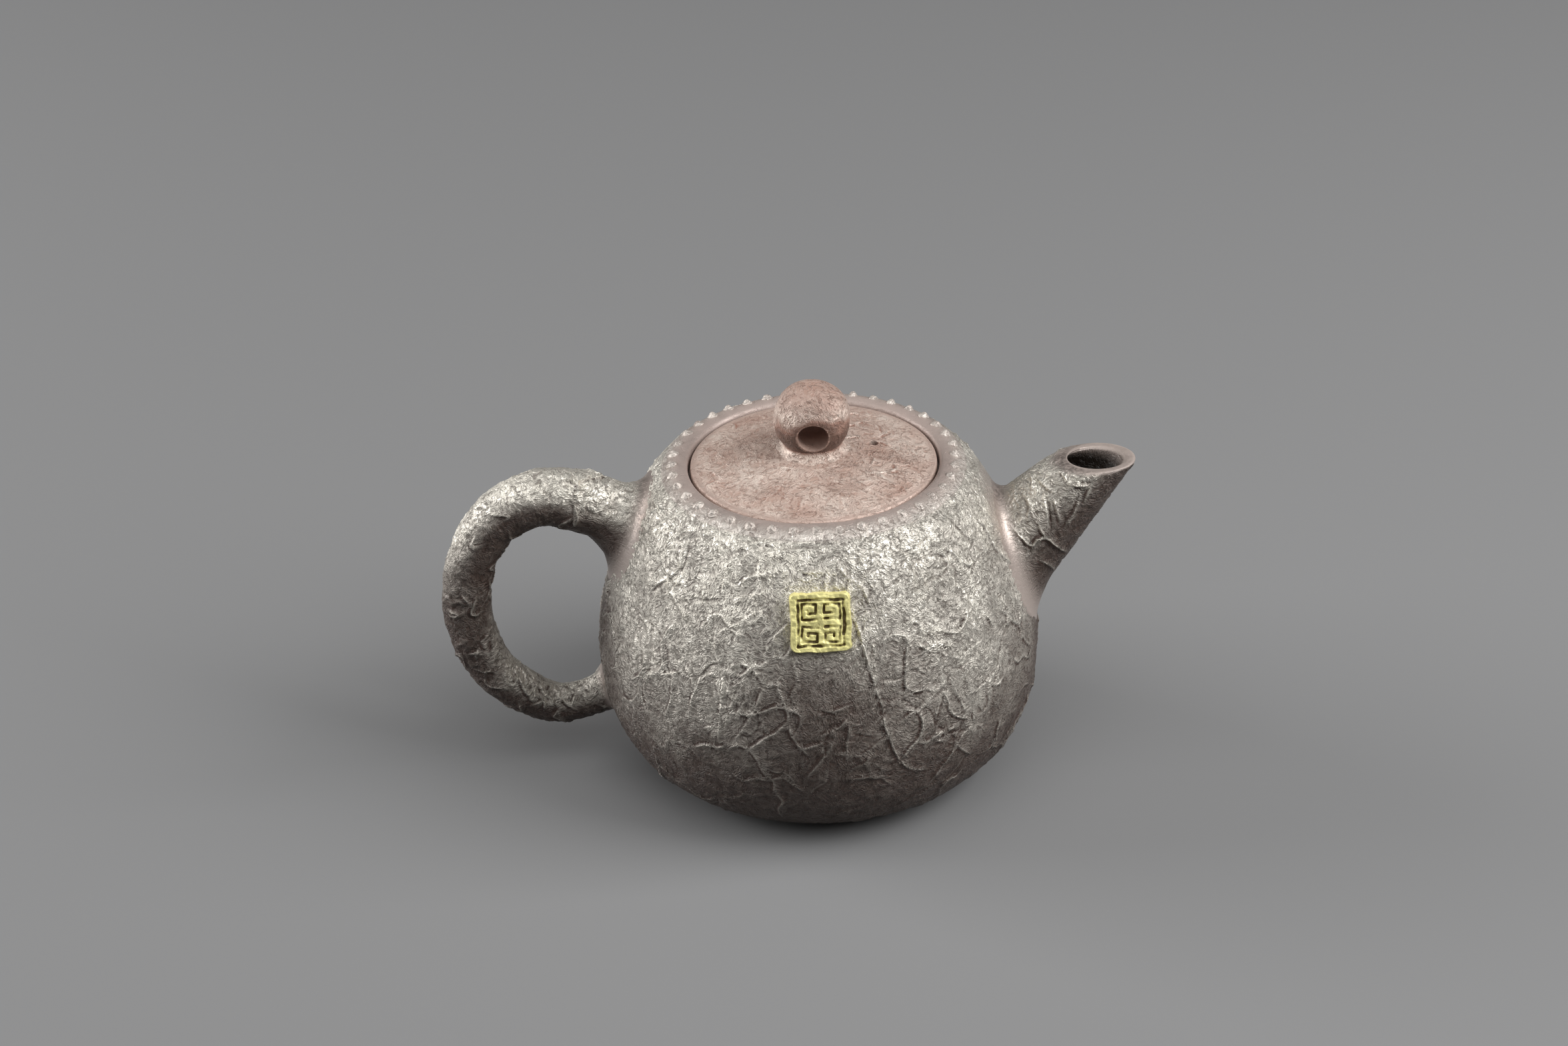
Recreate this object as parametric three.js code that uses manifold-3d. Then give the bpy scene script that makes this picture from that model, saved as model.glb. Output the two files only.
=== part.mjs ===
// Round clay teapot with a flush lid, a pierced ball knob, a straight spout and an ear handle.
// The pieces are those the potter makes one by one and lutes together with slip: body wall,
// shoulder ring, base, lid seat, spout, handle, clay nails, seal tile, lid, lid flange, knob.
// Millimetres, +Z up. The origin is on the pot's axis at table level, the spout points to +X,
// the handle to -X, and the seal tile faces -Y.

import * as THREE from 'three';
import { mergeVertices } from 'three/addons/utils/BufferGeometryUtils.js';
import Module from 'manifold-3d';

const wasm = await Module();
wasm.setup();

// Body
const BODY_RADIUS = 47;          // at the belly
const BELLY_HEIGHT = 29;
const RIM_HEIGHT = 70.3;         // mouth edge above the table
const WALL = 2.8;
const FOOT_RADIUS = 24;          // where the round belly turns into the flat base
const FOOT_ROLL = 2;             // flat start of the curve from the foot to the belly
const BASE_MARGIN = 1.5;         // how far the base disc reaches past the foot's turn
const BASE_THICKNESS = 3;
const BELLY_FULLNESS = 0.39;     // share of the height above the belly that stays full
const SHOULDER_SPREAD = 8.3;     // pull of the shoulder's curve outside the mouth
const SHOULDER_LIFT = 5.6;       // pull of the shoulder's curve above the rim
const SHOULDER_WIDTH = 5.5;      // smooth ring round the mouth

// Lid and its seat
const MOUTH_RADIUS = 26.4;
const MOUTH_EASE = 0.8;          // rounding of the mouth's edge
const LID_CLEARANCE = 0.5;       // open gap round the lid
const LID_DOME = 3.6;            // rise of the lid from its edge to its centre
const LID_EDGE_ROUND = 0.7;
const LID_HOLLOW = 2.8;          // rise of the hollow under the lid
const SEAT_WIDTH = 3.8;          // how far the seat reaches inside the mouth
const SEAT_ROOT = 2.2;           // how far the seat reaches under the shoulder
const SEAT_THICKNESS = 2.4;
const FLANGE_CLEARANCE = 0.5;
const FLANGE_WALL = 2.5;
const FLANGE_DEPTH = 7;
const VENT_RADIUS = 1;
const VENT_DISTANCE = 13;        // from the lid's centre
const VENT_ANGLE = 10;           // degrees round from the spout side

// Knob
const KNOB_RADIUS = 7.9;
const KNOB_HALF_HEIGHT = 7.4;
const KNOB_FULLNESS = 0.85;      // power of the ball's profile, which is 1 on a true ellipse
const KNOB_STANDING = 6.9;       // ball centre above the lid's crown
const KNOB_NECK_RADIUS = 6.2;
const KNOB_FOOT_RADIUS = 7.4;
const KNOB_BORE_RADIUS = 3.2;
const KNOB_BORE_DROP = 1.4;      // bore's axis below the ball's centre

// Clay nails round the mouth
const NAIL_COUNT = 40;
const NAIL_SETBACK = 3.3;        // from the mouth's edge to the circle of nails
const NAIL_HALF_WIDTH = 1.15;
const NAIL_HALF_LENGTH = 1.2;
const NAIL_HEIGHT = 0.75;

// Spout
const SPOUT_STANDOUT = 13;       // centre of the spout's mouth beyond the belly
const SPOUT_TIP_DROP = 1.5;      // spout's mouth below the rim
const SPOUT_RISE = 47.5;         // degrees above the table
const SPOUT_TIP_RADIUS = 6.6;
const SPOUT_TIP_BORE = 4.4;
const SPOUT_ROOT_RADIUS = 12.2;
const SPOUT_ROOT_BORE = 8.3;
const SPOUT_LENGTH = 36;         // along its axis, into the belly
const STRAINER_HOLE_RADIUS = 1.1;
const STRAINER_RING_RADIUS = 4.2;
const STRAINER_RING_HOLES = 6;

// Handle
const HANDLE_STANDOUT = 28;      // centre line beyond the belly
const HANDLE_DROP = 6.3;         // top of the centre line below the rim
const HANDLE_BOTTOM = 13.6;      // lowest point of the centre line above the table
const HANDLE_ROOT_RADIUS = 6.7;  // at the upper root
const HANDLE_GRIP_RADIUS = 5.15;
const HANDLE_TAIL_RADIUS = 4.1;  // at the lower root
const HANDLE_GRIP_START = 0.45;  // share of the bar's length where it has thinned to the grip
const HANDLE_TAPER_START = 0.58; // share where it begins to thin towards the tail
const HANDLE_TAPER_END = 0.86;

// Seal tile
const SEAL_SIZE = 12.7;
const SEAL_CORNER = 1.6;
const SEAL_PROUD = 1.1;
const SEAL_DROP = 14.6;          // centre below the rim
const FRET_MARGIN = 1.5;         // from the tile's edge to the middle of the fret's border line
const FRET_PITCH = 1.2;          // from one line of the fret to the next
const FRET_WIDTH = 0.55;
const FRET_DEPTH = 0.5;

const SLIP_GAP = 0.3;            // joint line between pieces luted together
const ROUND_STEPS = 48;
const BORE_STEPS = 24;

const baseRadius = FOOT_RADIUS + BASE_MARGIN;
const shoulderRadius = MOUTH_RADIUS + SHOULDER_WIDTH;
const seatTop = RIM_HEIGHT - WALL - SLIP_GAP;
const seatBore = MOUTH_RADIUS - SEAT_WIDTH;
const lidUnderside = seatTop + SLIP_GAP;
const lidRadius = MOUTH_RADIUS - LID_CLEARANCE;
const lidCrown = RIM_HEIGHT + LID_DOME;
const flangeRadius = seatBore - FLANGE_CLEARANCE;
const flangeBore = flangeRadius - FLANGE_WALL;

const clay = new THREE.MeshStandardMaterial({ color: 0x8f867f, roughness: 0.45, metalness: 0.35 });
const smoothClay = new THREE.MeshStandardMaterial({ color: 0x9d8c86, roughness: 0.5, metalness: 0.2 });
const lidClay = new THREE.MeshStandardMaterial({ color: 0xae8f84, roughness: 0.6, metalness: 0.1 });
const gilt = new THREE.MeshStandardMaterial({ color: 0xcaa93a, roughness: 0.3, metalness: 0.9 });

// Solids: three.js geometry in, manifold out, and back again

function solidOf(geometry) {
  geometry.deleteAttribute('normal');
  geometry.deleteAttribute('uv');
  const merged = mergeVertices(geometry, 1e-4);
  return new wasm.Manifold(new wasm.Mesh({
    numProp: 3,
    vertProperties: new Float32Array(merged.attributes.position.array),
    triVerts: new Uint32Array(merged.index.array),
  }));
}

function meshOf(name, solid, material) {
  const result = solid.getMesh();
  const geometry = new THREE.BufferGeometry();
  geometry.setAttribute('position', new THREE.BufferAttribute(result.vertProperties, 3));
  geometry.setIndex(new THREE.BufferAttribute(result.triVerts, 1));
  geometry.computeVertexNormals();
  const mesh = new THREE.Mesh(geometry, material);
  mesh.name = name;
  return mesh;
}

// A lathe turned about +Z from [radius, height] points that start and end on the axis
// or, for a ring, close on themselves.
function turned(points, steps = ROUND_STEPS) {
  const outline = points.map(([radius, height]) => new THREE.Vector2(radius, height));
  const geometry = new THREE.LatheGeometry(outline, steps);
  geometry.rotateX(Math.PI / 2);
  return solidOf(geometry);
}

function turnedRing(points, steps = ROUND_STEPS) {
  return turned([...points, points[0]], steps);
}

function disc(radius, bottom, top, steps = ROUND_STEPS) {
  return turned([[0, bottom], [radius, bottom], [radius, top], [0, top]], steps);
}

// A rod through two points, with a radius at each end.
function rod(from, to, startRadius, endRadius, steps = BORE_STEPS) {
  const along = new THREE.Vector3().subVectors(to, from);
  const geometry = new THREE.CylinderGeometry(endRadius, startRadius, along.length(), steps);
  const turn = new THREE.Quaternion().setFromUnitVectors(
    new THREE.Vector3(0, 1, 0), along.clone().normalize());
  geometry.applyQuaternion(turn);
  const middle = new THREE.Vector3().addVectors(from, to).multiplyScalar(0.5);
  geometry.translate(middle.x, middle.y, middle.z);
  return solidOf(geometry);
}

// The pot's round outline: one curve from the foot out to the belly and one from the belly
// in to the mouth, both moved inwards by an inset.
function vesselCurves(inset) {
  const belly = new THREE.Vector2(BODY_RADIUS - inset, BELLY_HEIGHT);
  const lower = new THREE.CubicBezierCurve(
    new THREE.Vector2(FOOT_RADIUS, inset),
    new THREE.Vector2(FOOT_RADIUS + FOOT_ROLL, inset),
    new THREE.Vector2(belly.x, inset),
    belly);
  const upper = new THREE.CubicBezierCurve(
    belly,
    new THREE.Vector2(belly.x, BELLY_HEIGHT + BELLY_FULLNESS * (RIM_HEIGHT - BELLY_HEIGHT)),
    new THREE.Vector2(MOUTH_RADIUS + SHOULDER_SPREAD - 0.6 * inset, RIM_HEIGHT + SHOULDER_LIFT - inset),
    new THREE.Vector2(MOUTH_RADIUS - 0.2, RIM_HEIGHT - inset));
  return { lower, upper };
}

function vesselSolid(inset) {
  const { lower, upper } = vesselCurves(inset);
  const outline = [...lower.getPoints(8), ...upper.getPoints(10).slice(1)];
  const points = outline.map((point) => [point.x, point.y]);
  return turned([[0, inset], ...points, [0, RIM_HEIGHT - inset]]);
}

// Place and slope of the outer skin above the belly at a given height or radius.
function skinWhere(test) {
  const { upper } = vesselCurves(0);
  let low = 0;
  let high = 1;
  for (let i = 0; i < 40; i += 1) {
    const middle = (low + high) / 2;
    if (test(upper.getPoint(middle))) low = middle;
    else high = middle;
  }
  const point = upper.getPoint(low);
  const tangent = upper.getTangent(low);
  return { radius: point.x, height: point.y, normal: new THREE.Vector2(tangent.y, -tangent.x) };
}

const skin = vesselSolid(0);
const hollow = vesselSolid(WALL);
const skinWithGap = vesselSolid(-SLIP_GAP);
const shell = skin.subtract(hollow);

// Spout axis, from inside the belly out to the tip
const spoutRise = THREE.MathUtils.degToRad(SPOUT_RISE);
const spoutAxis = new THREE.Vector3(Math.cos(spoutRise), 0, Math.sin(spoutRise));
const spoutTip = new THREE.Vector3(BODY_RADIUS + SPOUT_STANDOUT, 0, RIM_HEIGHT - SPOUT_TIP_DROP);

function alongSpout(distance) {
  return spoutTip.clone().addScaledVector(spoutAxis, -distance);
}

// Holes drilled through the wall behind the spout, one in the middle and a ring round it.
function strainerHoles() {
  const across = new THREE.Vector3(-spoutAxis.z, 0, spoutAxis.x);
  const side = new THREE.Vector3(0, 1, 0);
  const outside = alongSpout(SPOUT_LENGTH * 0.45);
  const inside = alongSpout(SPOUT_LENGTH * 1.25);
  const drill = (shift) => rod(
    inside.clone().add(shift), outside.clone().add(shift),
    STRAINER_HOLE_RADIUS, STRAINER_HOLE_RADIUS, 10);
  let holes = drill(new THREE.Vector3());
  for (let i = 0; i < STRAINER_RING_HOLES; i += 1) {
    const angle = (2 * Math.PI * i) / STRAINER_RING_HOLES;
    const shift = across.clone().multiplyScalar(STRAINER_RING_RADIUS * Math.cos(angle))
      .addScaledVector(side, STRAINER_RING_RADIUS * Math.sin(angle));
    holes = holes.add(drill(shift));
  }
  return holes;
}

// Beaten round wall, open at the base and at the shoulder.
function bodyWall() {
  const baseOpening = disc(baseRadius, -1, WALL + 1);
  const shoulderOpening = disc(shoulderRadius, RIM_HEIGHT - 4 * WALL, RIM_HEIGHT + 2 * WALL);
  return shell.subtract(baseOpening).subtract(shoulderOpening).subtract(strainerHoles());
}

function baseDisc() {
  const radius = baseRadius - SLIP_GAP;
  return turned([
    [0, 0], [radius - 0.6, 0], [radius, 0.3], [radius, BASE_THICKNESS], [0, BASE_THICKNESS],
  ]);
}

// Smooth ring between the wall and the mouth, which carries the clay nails.
function shoulderRing() {
  const blank = disc(shoulderRadius - SLIP_GAP, RIM_HEIGHT - 4 * WALL, RIM_HEIGHT + 2 * WALL);
  const mouth = turned([
    [0, 0], [MOUTH_RADIUS, 0], [MOUTH_RADIUS, RIM_HEIGHT - MOUTH_EASE],
    [MOUTH_RADIUS + 0.3 * MOUTH_EASE, RIM_HEIGHT - 0.3 * MOUTH_EASE],
    [MOUTH_RADIUS + 1.6 * MOUTH_EASE, RIM_HEIGHT + MOUTH_EASE],
    [MOUTH_RADIUS + 1.6 * MOUTH_EASE, RIM_HEIGHT + 2 * WALL], [0, RIM_HEIGHT + 2 * WALL],
  ]);
  return shell.intersect(blank).subtract(mouth);
}

// Ledge luted under the shoulder ring, on which the lid rests.
function lidSeat() {
  const outer = MOUTH_RADIUS + SEAT_ROOT;
  return turnedRing([
    [seatBore, seatTop - SEAT_THICKNESS], [outer, seatTop - SEAT_THICKNESS],
    [outer, seatTop], [seatBore, seatTop],
  ]);
}

// One pressed-on clay nail, a low dome that lies on the skin.
function clayNail(index) {
  const spot = skinWhere((point) => point.x > MOUTH_RADIUS + NAIL_SETBACK);
  const dome = [[0, 0], [1, 0], [0.86, 0.55], [0.5, 0.88], [0, 1]];
  const nail = new THREE.LatheGeometry(
    dome.map(([radius, height]) => new THREE.Vector2(radius, height)), 8);
  nail.scale(NAIL_HALF_LENGTH, NAIL_HEIGHT, NAIL_HALF_WIDTH);
  nail.translate(0, SLIP_GAP, 0);
  nail.rotateX(Math.PI / 2);
  nail.rotateY(Math.atan2(spot.normal.x, spot.normal.y));
  nail.translate(spot.radius, 0, spot.height);
  nail.rotateZ((2 * Math.PI * index) / NAIL_COUNT);
  return solidOf(nail);
}

// Tapered tube with a level mouth, its root shaped to the belly.
function spout() {
  const growth = (SPOUT_ROOT_RADIUS - SPOUT_TIP_RADIUS) / SPOUT_LENGTH;
  const boreGrowth = (SPOUT_ROOT_BORE - SPOUT_TIP_BORE) / SPOUT_LENGTH;
  const spare = 1.5 * SPOUT_TIP_RADIUS;
  const outer = rod(alongSpout(SPOUT_LENGTH), alongSpout(-spare),
    SPOUT_ROOT_RADIUS, SPOUT_TIP_RADIUS - spare * growth, 32);
  const bore = rod(alongSpout(SPOUT_LENGTH + spare), alongSpout(-2 * spare),
    SPOUT_ROOT_BORE + spare * boreGrowth, SPOUT_TIP_BORE - 2 * spare * boreGrowth);
  const aboveMouth = disc(4 * SPOUT_TIP_RADIUS, 0, 4 * SPOUT_TIP_RADIUS)
    .translate([spoutTip.x, 0, spoutTip.z]);
  return outer.subtract(aboveMouth).subtract(bore).subtract(skinWithGap);
}

// Round bar bent to an ear shape, thickest at its upper root and thinnest at its tail, with
// both ends shaped to the belly.
function handle() {
  const reach = BODY_RADIUS + HANDLE_STANDOUT;
  const top = RIM_HEIGHT - HANDLE_DROP;
  const path = new THREE.CatmullRomCurve3([
    [BODY_RADIUS - 10, top - 7.5],
    [BODY_RADIUS - 1.5, top - 2.8],
    [reach - 18.5, top],
    [reach - 8, top - 4.6],
    [reach - 1.8, top - 14.3],
    [reach, top - 25.5],
    [reach - 1.7, HANDLE_BOTTOM + 15],
    [reach - 7.2, HANDLE_BOTTOM + 6.2],
    [reach - 18, HANDLE_BOTTOM],
    [BODY_RADIUS - 1, HANDLE_BOTTOM + 2.4],
    [BODY_RADIUS - 9, HANDLE_BOTTOM + 6.4],
  ].map(([out, height]) => new THREE.Vector3(-out, 0, height)), false, 'centripetal');
  const widthAt = (t) => (t < HANDLE_GRIP_START
    ? THREE.MathUtils.lerp(HANDLE_ROOT_RADIUS, HANDLE_GRIP_RADIUS, t / HANDLE_GRIP_START)
    : THREE.MathUtils.mapLinear(
      THREE.MathUtils.clamp(t, HANDLE_TAPER_START, HANDLE_TAPER_END),
      HANDLE_TAPER_START, HANDLE_TAPER_END, HANDLE_GRIP_RADIUS, HANDLE_TAIL_RADIUS));
  const bar = new THREE.CylinderGeometry(1, 1, 1, 14, 40);
  const place = bar.attributes.position;
  const side = new THREE.Vector3(0, 1, 0);
  for (let i = 0; i < place.count; i += 1) {
    const t = place.getY(i) + 0.5;
    const across = new THREE.Vector3().crossVectors(side, path.getTangentAt(t));
    const point = path.getPointAt(t)
      .addScaledVector(side, place.getX(i) * widthAt(t))
      .addScaledVector(across, place.getZ(i) * widthAt(t));
    place.setXYZ(i, point.x, point.y, point.z);
  }
  return solidOf(bar).subtract(skinWithGap);
}

// Grooves of the key fret: a square border, and a square spiral in each quarter inside it.
function fretGrooves() {
  const border = SEAL_SIZE / 2 - FRET_MARGIN;
  const spiral = border / 2 - 0.7 * FRET_PITCH;
  const inner = spiral - FRET_PITCH;
  const middle = border / 2;
  const turns = [
    [-spiral, -spiral], [spiral, -spiral], [spiral, spiral], [-spiral, spiral],
    [-spiral, -inner], [inner, -inner], [inner, inner],
  ];
  const lines = [[
    [-border, -border], [border, -border], [border, border], [-border, border], [-border, -border],
  ]];
  for (const right of [-1, 1]) {
    for (const up of [-1, 1]) {
      lines.push(turns.map(([x, y]) => [right * (x + middle), up * (y + middle)]));
    }
  }
  let grooves = null;
  for (const line of lines) {
    for (let i = 1; i < line.length; i += 1) {
      const [[x0, y0], [x1, y1]] = [line[i - 1], line[i]];
      const groove = solidOf(new THREE.BoxGeometry(
        Math.abs(x1 - x0) + FRET_WIDTH, Math.abs(y1 - y0) + FRET_WIDTH, 2 * FRET_DEPTH,
      ).translate((x0 + x1) / 2, (y0 + y1) / 2, SEAL_PROUD));
      grooves = grooves ? grooves.add(groove) : groove;
    }
  }
  return grooves;
}

// Square tile with rounded corners and the key fret cut into its face.
function sealTile() {
  const edge = SEAL_SIZE / 2 - SEAL_CORNER;
  const outline = new THREE.Shape();
  outline.absarc(edge, edge, SEAL_CORNER, 0, Math.PI / 2);
  outline.absarc(-edge, edge, SEAL_CORNER, Math.PI / 2, Math.PI);
  outline.absarc(-edge, -edge, SEAL_CORNER, Math.PI, 1.5 * Math.PI);
  outline.absarc(edge, -edge, SEAL_CORNER, 1.5 * Math.PI, 2 * Math.PI);
  const depth = 4 * SEAL_PROUD;
  const blank = solidOf(new THREE.ExtrudeGeometry(outline, {
    depth, bevelEnabled: false, curveSegments: 4, steps: 1,
  }).translate(0, 0, SEAL_PROUD - depth));
  const spot = skinWhere((point) => point.y < RIM_HEIGHT - SEAL_DROP);
  const tilt = Math.PI / 2 - Math.atan2(spot.normal.y, spot.normal.x);
  return blank.subtract(fretGrooves()).rotate([THREE.MathUtils.radToDeg(tilt), 0, 0])
    .translate([0, -spot.radius, spot.height]).subtract(skinWithGap);
}

function lidTop(radius) {
  return lidCrown - LID_DOME * (radius / lidRadius) ** 2;
}

// Shallow domed plate with an eased edge, hollowed underneath, with a small vent hole.
function lidPlate() {
  const top = [];
  const steps = 7;
  for (let i = 0; i <= steps; i += 1) {
    const radius = (lidRadius - LID_EDGE_ROUND) * (1 - i / steps);
    top.push([radius, lidTop(radius)]);
  }
  const underside = [];
  for (let i = 0; i <= 4; i += 1) {
    const radius = (flangeBore * i) / 4;
    underside.push([radius, lidUnderside + LID_HOLLOW * (1 - (radius / flangeBore) ** 2)]);
  }
  const plate = turned([
    ...underside, [lidRadius - 0.3, lidUnderside], [lidRadius, lidUnderside + 0.3],
    [lidRadius, RIM_HEIGHT - LID_EDGE_ROUND], [lidRadius - 0.3 * LID_EDGE_ROUND, RIM_HEIGHT - 0.2],
    ...top,
  ]);
  const angle = THREE.MathUtils.degToRad(VENT_ANGLE);
  const vent = disc(VENT_RADIUS, 0, lidCrown + 1, 12)
    .translate([VENT_DISTANCE * Math.cos(angle), VENT_DISTANCE * Math.sin(angle), 0]);
  return plate.subtract(vent);
}

// Ring under the lid that drops through the seat and keeps the lid from sliding.
function lidFlange() {
  const bottom = seatTop - FLANGE_DEPTH;
  return turnedRing([
    [flangeBore + 0.4, bottom], [flangeRadius - 0.4, bottom], [flangeRadius, bottom + 0.6],
    [flangeRadius, seatTop], [flangeBore, seatTop], [flangeBore, bottom + 0.6],
  ]);
}

// Ball on a flared foot, bored through from front to back.
function lidKnob() {
  const centre = lidCrown + KNOB_STANDING;
  const start = -Math.acos((KNOB_NECK_RADIUS / KNOB_RADIUS) ** (1 / KNOB_FULLNESS));
  const ballPoint = (angle) => [
    KNOB_RADIUS * Math.cos(angle) ** KNOB_FULLNESS,
    centre + KNOB_HALF_HEIGHT * Math.sign(angle) * Math.abs(Math.sin(angle)) ** KNOB_FULLNESS,
  ];
  const neckHeight = ballPoint(start)[1];
  const foot = [0, 0.35, 0.7, 1].map((share) => {
    const radius = KNOB_FOOT_RADIUS * share;
    return [radius, lidTop(radius) + SLIP_GAP];
  });
  const flareBottom = lidTop(KNOB_FOOT_RADIUS) + SLIP_GAP + 0.3;
  const flare = [0, 0.3, 0.6, 0.85].map((share) => {
    const rise = 1 - Math.cos((share * Math.PI) / 2);
    const draw = Math.sin((share * Math.PI) / 2);
    return [
      THREE.MathUtils.lerp(KNOB_FOOT_RADIUS, KNOB_NECK_RADIUS, draw),
      THREE.MathUtils.lerp(flareBottom, neckHeight, rise),
    ];
  });
  const ball = [];
  const steps = 10;
  for (let i = 0; i <= steps; i += 1) {
    ball.push(ballPoint(start + ((Math.PI / 2 - start) * i) / steps));
  }
  ball[steps][0] = 0;
  const knob = turned([...foot, ...flare, ...ball], 28);
  const boreHeight = centre - KNOB_BORE_DROP;
  const bore = rod(new THREE.Vector3(0, -2 * KNOB_RADIUS, boreHeight),
    new THREE.Vector3(0, 2 * KNOB_RADIUS, boreHeight), KNOB_BORE_RADIUS, KNOB_BORE_RADIUS);
  return knob.subtract(bore);
}

const pot = new THREE.Group();
pot.add(
  meshOf('body_wall', bodyWall(), clay),
  meshOf('base_disc', baseDisc(), clay),
  meshOf('shoulder_ring', shoulderRing(), smoothClay),
  meshOf('lid_seat', lidSeat(), smoothClay),
  meshOf('spout', spout(), clay),
  meshOf('handle', handle(), clay),
  meshOf('seal_tile', sealTile(), gilt),
);
for (let i = 0; i < NAIL_COUNT; i += 1) {
  const number = String(i + 1).padStart(2, '0');
  pot.add(meshOf(`clay_nail_${number}`, clayNail(i), smoothClay));
}

const lid = new THREE.Group();
lid.add(
  meshOf('lid_plate', lidPlate(), lidClay),
  meshOf('lid_flange', lidFlange(), lidClay),
  meshOf('lid_knob', lidKnob(), lidClay),
);

const teapot = new THREE.Group();
teapot.add(pot, lid);

export default teapot;
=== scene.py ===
import math
import random

import bmesh
import bpy
from mathutils import Matrix, Vector, kdtree, noise


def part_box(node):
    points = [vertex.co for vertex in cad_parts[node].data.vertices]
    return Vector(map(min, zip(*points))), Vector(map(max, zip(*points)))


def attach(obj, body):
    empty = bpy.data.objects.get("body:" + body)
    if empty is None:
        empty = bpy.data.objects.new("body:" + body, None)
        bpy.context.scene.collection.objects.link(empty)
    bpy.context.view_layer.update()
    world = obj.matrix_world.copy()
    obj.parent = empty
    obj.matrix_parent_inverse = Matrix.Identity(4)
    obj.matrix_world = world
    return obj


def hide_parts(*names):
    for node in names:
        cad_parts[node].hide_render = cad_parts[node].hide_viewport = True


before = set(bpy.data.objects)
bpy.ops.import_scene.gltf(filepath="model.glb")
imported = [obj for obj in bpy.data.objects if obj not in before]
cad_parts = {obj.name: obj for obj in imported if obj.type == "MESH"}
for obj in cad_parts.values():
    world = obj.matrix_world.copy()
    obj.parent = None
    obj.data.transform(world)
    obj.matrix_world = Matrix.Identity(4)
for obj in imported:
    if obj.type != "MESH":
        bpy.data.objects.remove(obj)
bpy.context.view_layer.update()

# Camera: stands in front of the seal side, looking down on the pot, and leans a little to one side.
# The focal length is the photograph's, on a frame 2351 pixels wide.
FRAME_WIDTH = 2351
FRAME_HEIGHT = 1568
FOCAL_PIXELS = 5271
LOOK_DOWN = math.radians(29.82)
LEAN = math.radians(-2.12)
AIM = Vector((-0.00663, 0, 0.05572))
DISTANCE = 0.7433

camera_data = bpy.data.cameras.new("camera")
camera_data.sensor_width = 36
camera_data.lens = FOCAL_PIXELS / FRAME_WIDTH * camera_data.sensor_width
camera = bpy.data.objects.new("camera", camera_data)
bpy.context.scene.collection.objects.link(camera)
bpy.context.scene.camera = camera
camera_turn = Matrix.Rotation(math.pi / 2 - LOOK_DOWN, 4, "X") @ Matrix.Rotation(LEAN, 4, "Z")
camera_back = Vector((0, -math.cos(LOOK_DOWN), math.sin(LOOK_DOWN)))
camera.matrix_world = Matrix.Translation(AIM + DISTANCE * camera_back) @ camera_turn
bpy.context.scene.view_settings.view_transform = "Standard"

# Floor: one plain pale sheet under the pot, wide enough to fill every view. It is pale to look at
# and in reflections, and throws little light back up on to the pot.
FLOOR_SIZE = 12
FLOOR_SEEN = (0.25, 0.25, 0.252, 1)
FLOOR_BOUNCE = (0.05, 0.05, 0.05, 1)


def wire(tree, kind, sockets, **settings):
    """Adds a shader node with its settings, and sets or links its sockets."""
    made = tree.nodes.new("ShaderNode" + kind)
    for name, value in settings.items():
        setattr(made, name, value)
    for name, value in sockets.items():
        if isinstance(value, bpy.types.NodeSocket):
            tree.links.new(value, made.inputs[name])
        else:
            made.inputs[name].default_value = value
    return made.outputs


floor_shape = bmesh.new()
bmesh.ops.create_grid(floor_shape, x_segments=1, y_segments=1, size=FLOOR_SIZE / 2)
floor_mesh = bpy.data.meshes.new("floor")
floor_shape.to_mesh(floor_mesh)
floor_shape.free()
floor = bpy.data.objects.new("floor", floor_mesh)
bpy.context.scene.collection.objects.link(floor)
floor_paint = bpy.data.materials.new("floor_paint")
floor_paint.use_nodes = True
tree = floor_paint.node_tree
floor_surface = tree.nodes["Principled BSDF"]
floor_surface.inputs["Roughness"].default_value = 0.9
ray = wire(tree, "LightPath", {})
seen = wire(tree, "Math", {0: ray["Is Camera Ray"], 1: ray["Is Glossy Ray"]}, operation="MAXIMUM")[0]
seen = wire(tree, "Math", {0: seen, 1: ray["Is Transmission Ray"]}, operation="MAXIMUM")[0]
paint = wire(tree, "Mix", {0: seen, 6: FLOOR_BOUNCE, 7: FLOOR_SEEN}, data_type="RGBA")[2]
tree.links.new(paint, floor_surface.inputs["Base Color"])
floor_mesh.materials.append(floor_paint)

# Studio light: a wide soft box overhead, one soft box on each side, and a weak even room light.
ROOM_LIGHT = 0.034


def soft_box(name, bearing, height_angle, distance, width, power):
    """An area light aimed at the pot, placed by its bearing from the camera's side and its height angle."""
    lamp_data = bpy.data.lights.new(name, "AREA")
    lamp_data.shape = "RECTANGLE"
    lamp_data.size = width
    lamp_data.size_y = width
    lamp_data.energy = power
    lamp = bpy.data.objects.new(name, lamp_data)
    bpy.context.scene.collection.objects.link(lamp)
    side, rise = math.radians(bearing), math.radians(height_angle)
    away = Vector((math.sin(side) * math.cos(rise), -math.cos(side) * math.cos(rise), math.sin(rise)))
    lamp.location = AIM + distance * away
    lamp.rotation_euler = away.to_track_quat("Z", "Y").to_euler()


soft_box("overhead_light", bearing=0, height_angle=67, distance=1.3, width=1.5, power=9.4)
soft_box("left_light", bearing=-104, height_angle=16, distance=1.2, width=0.8, power=12)
soft_box("right_light", bearing=76, height_angle=37, distance=1.2, width=0.8, power=12.8)
room = bpy.data.worlds.new("room")
room.use_nodes = True
room.node_tree.nodes["Background"].inputs["Color"].default_value = (1, 1, 1, 1)
room.node_tree.nodes["Background"].inputs["Strength"].default_value = ROOM_LIGHT
bpy.context.scene.world = room

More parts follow.
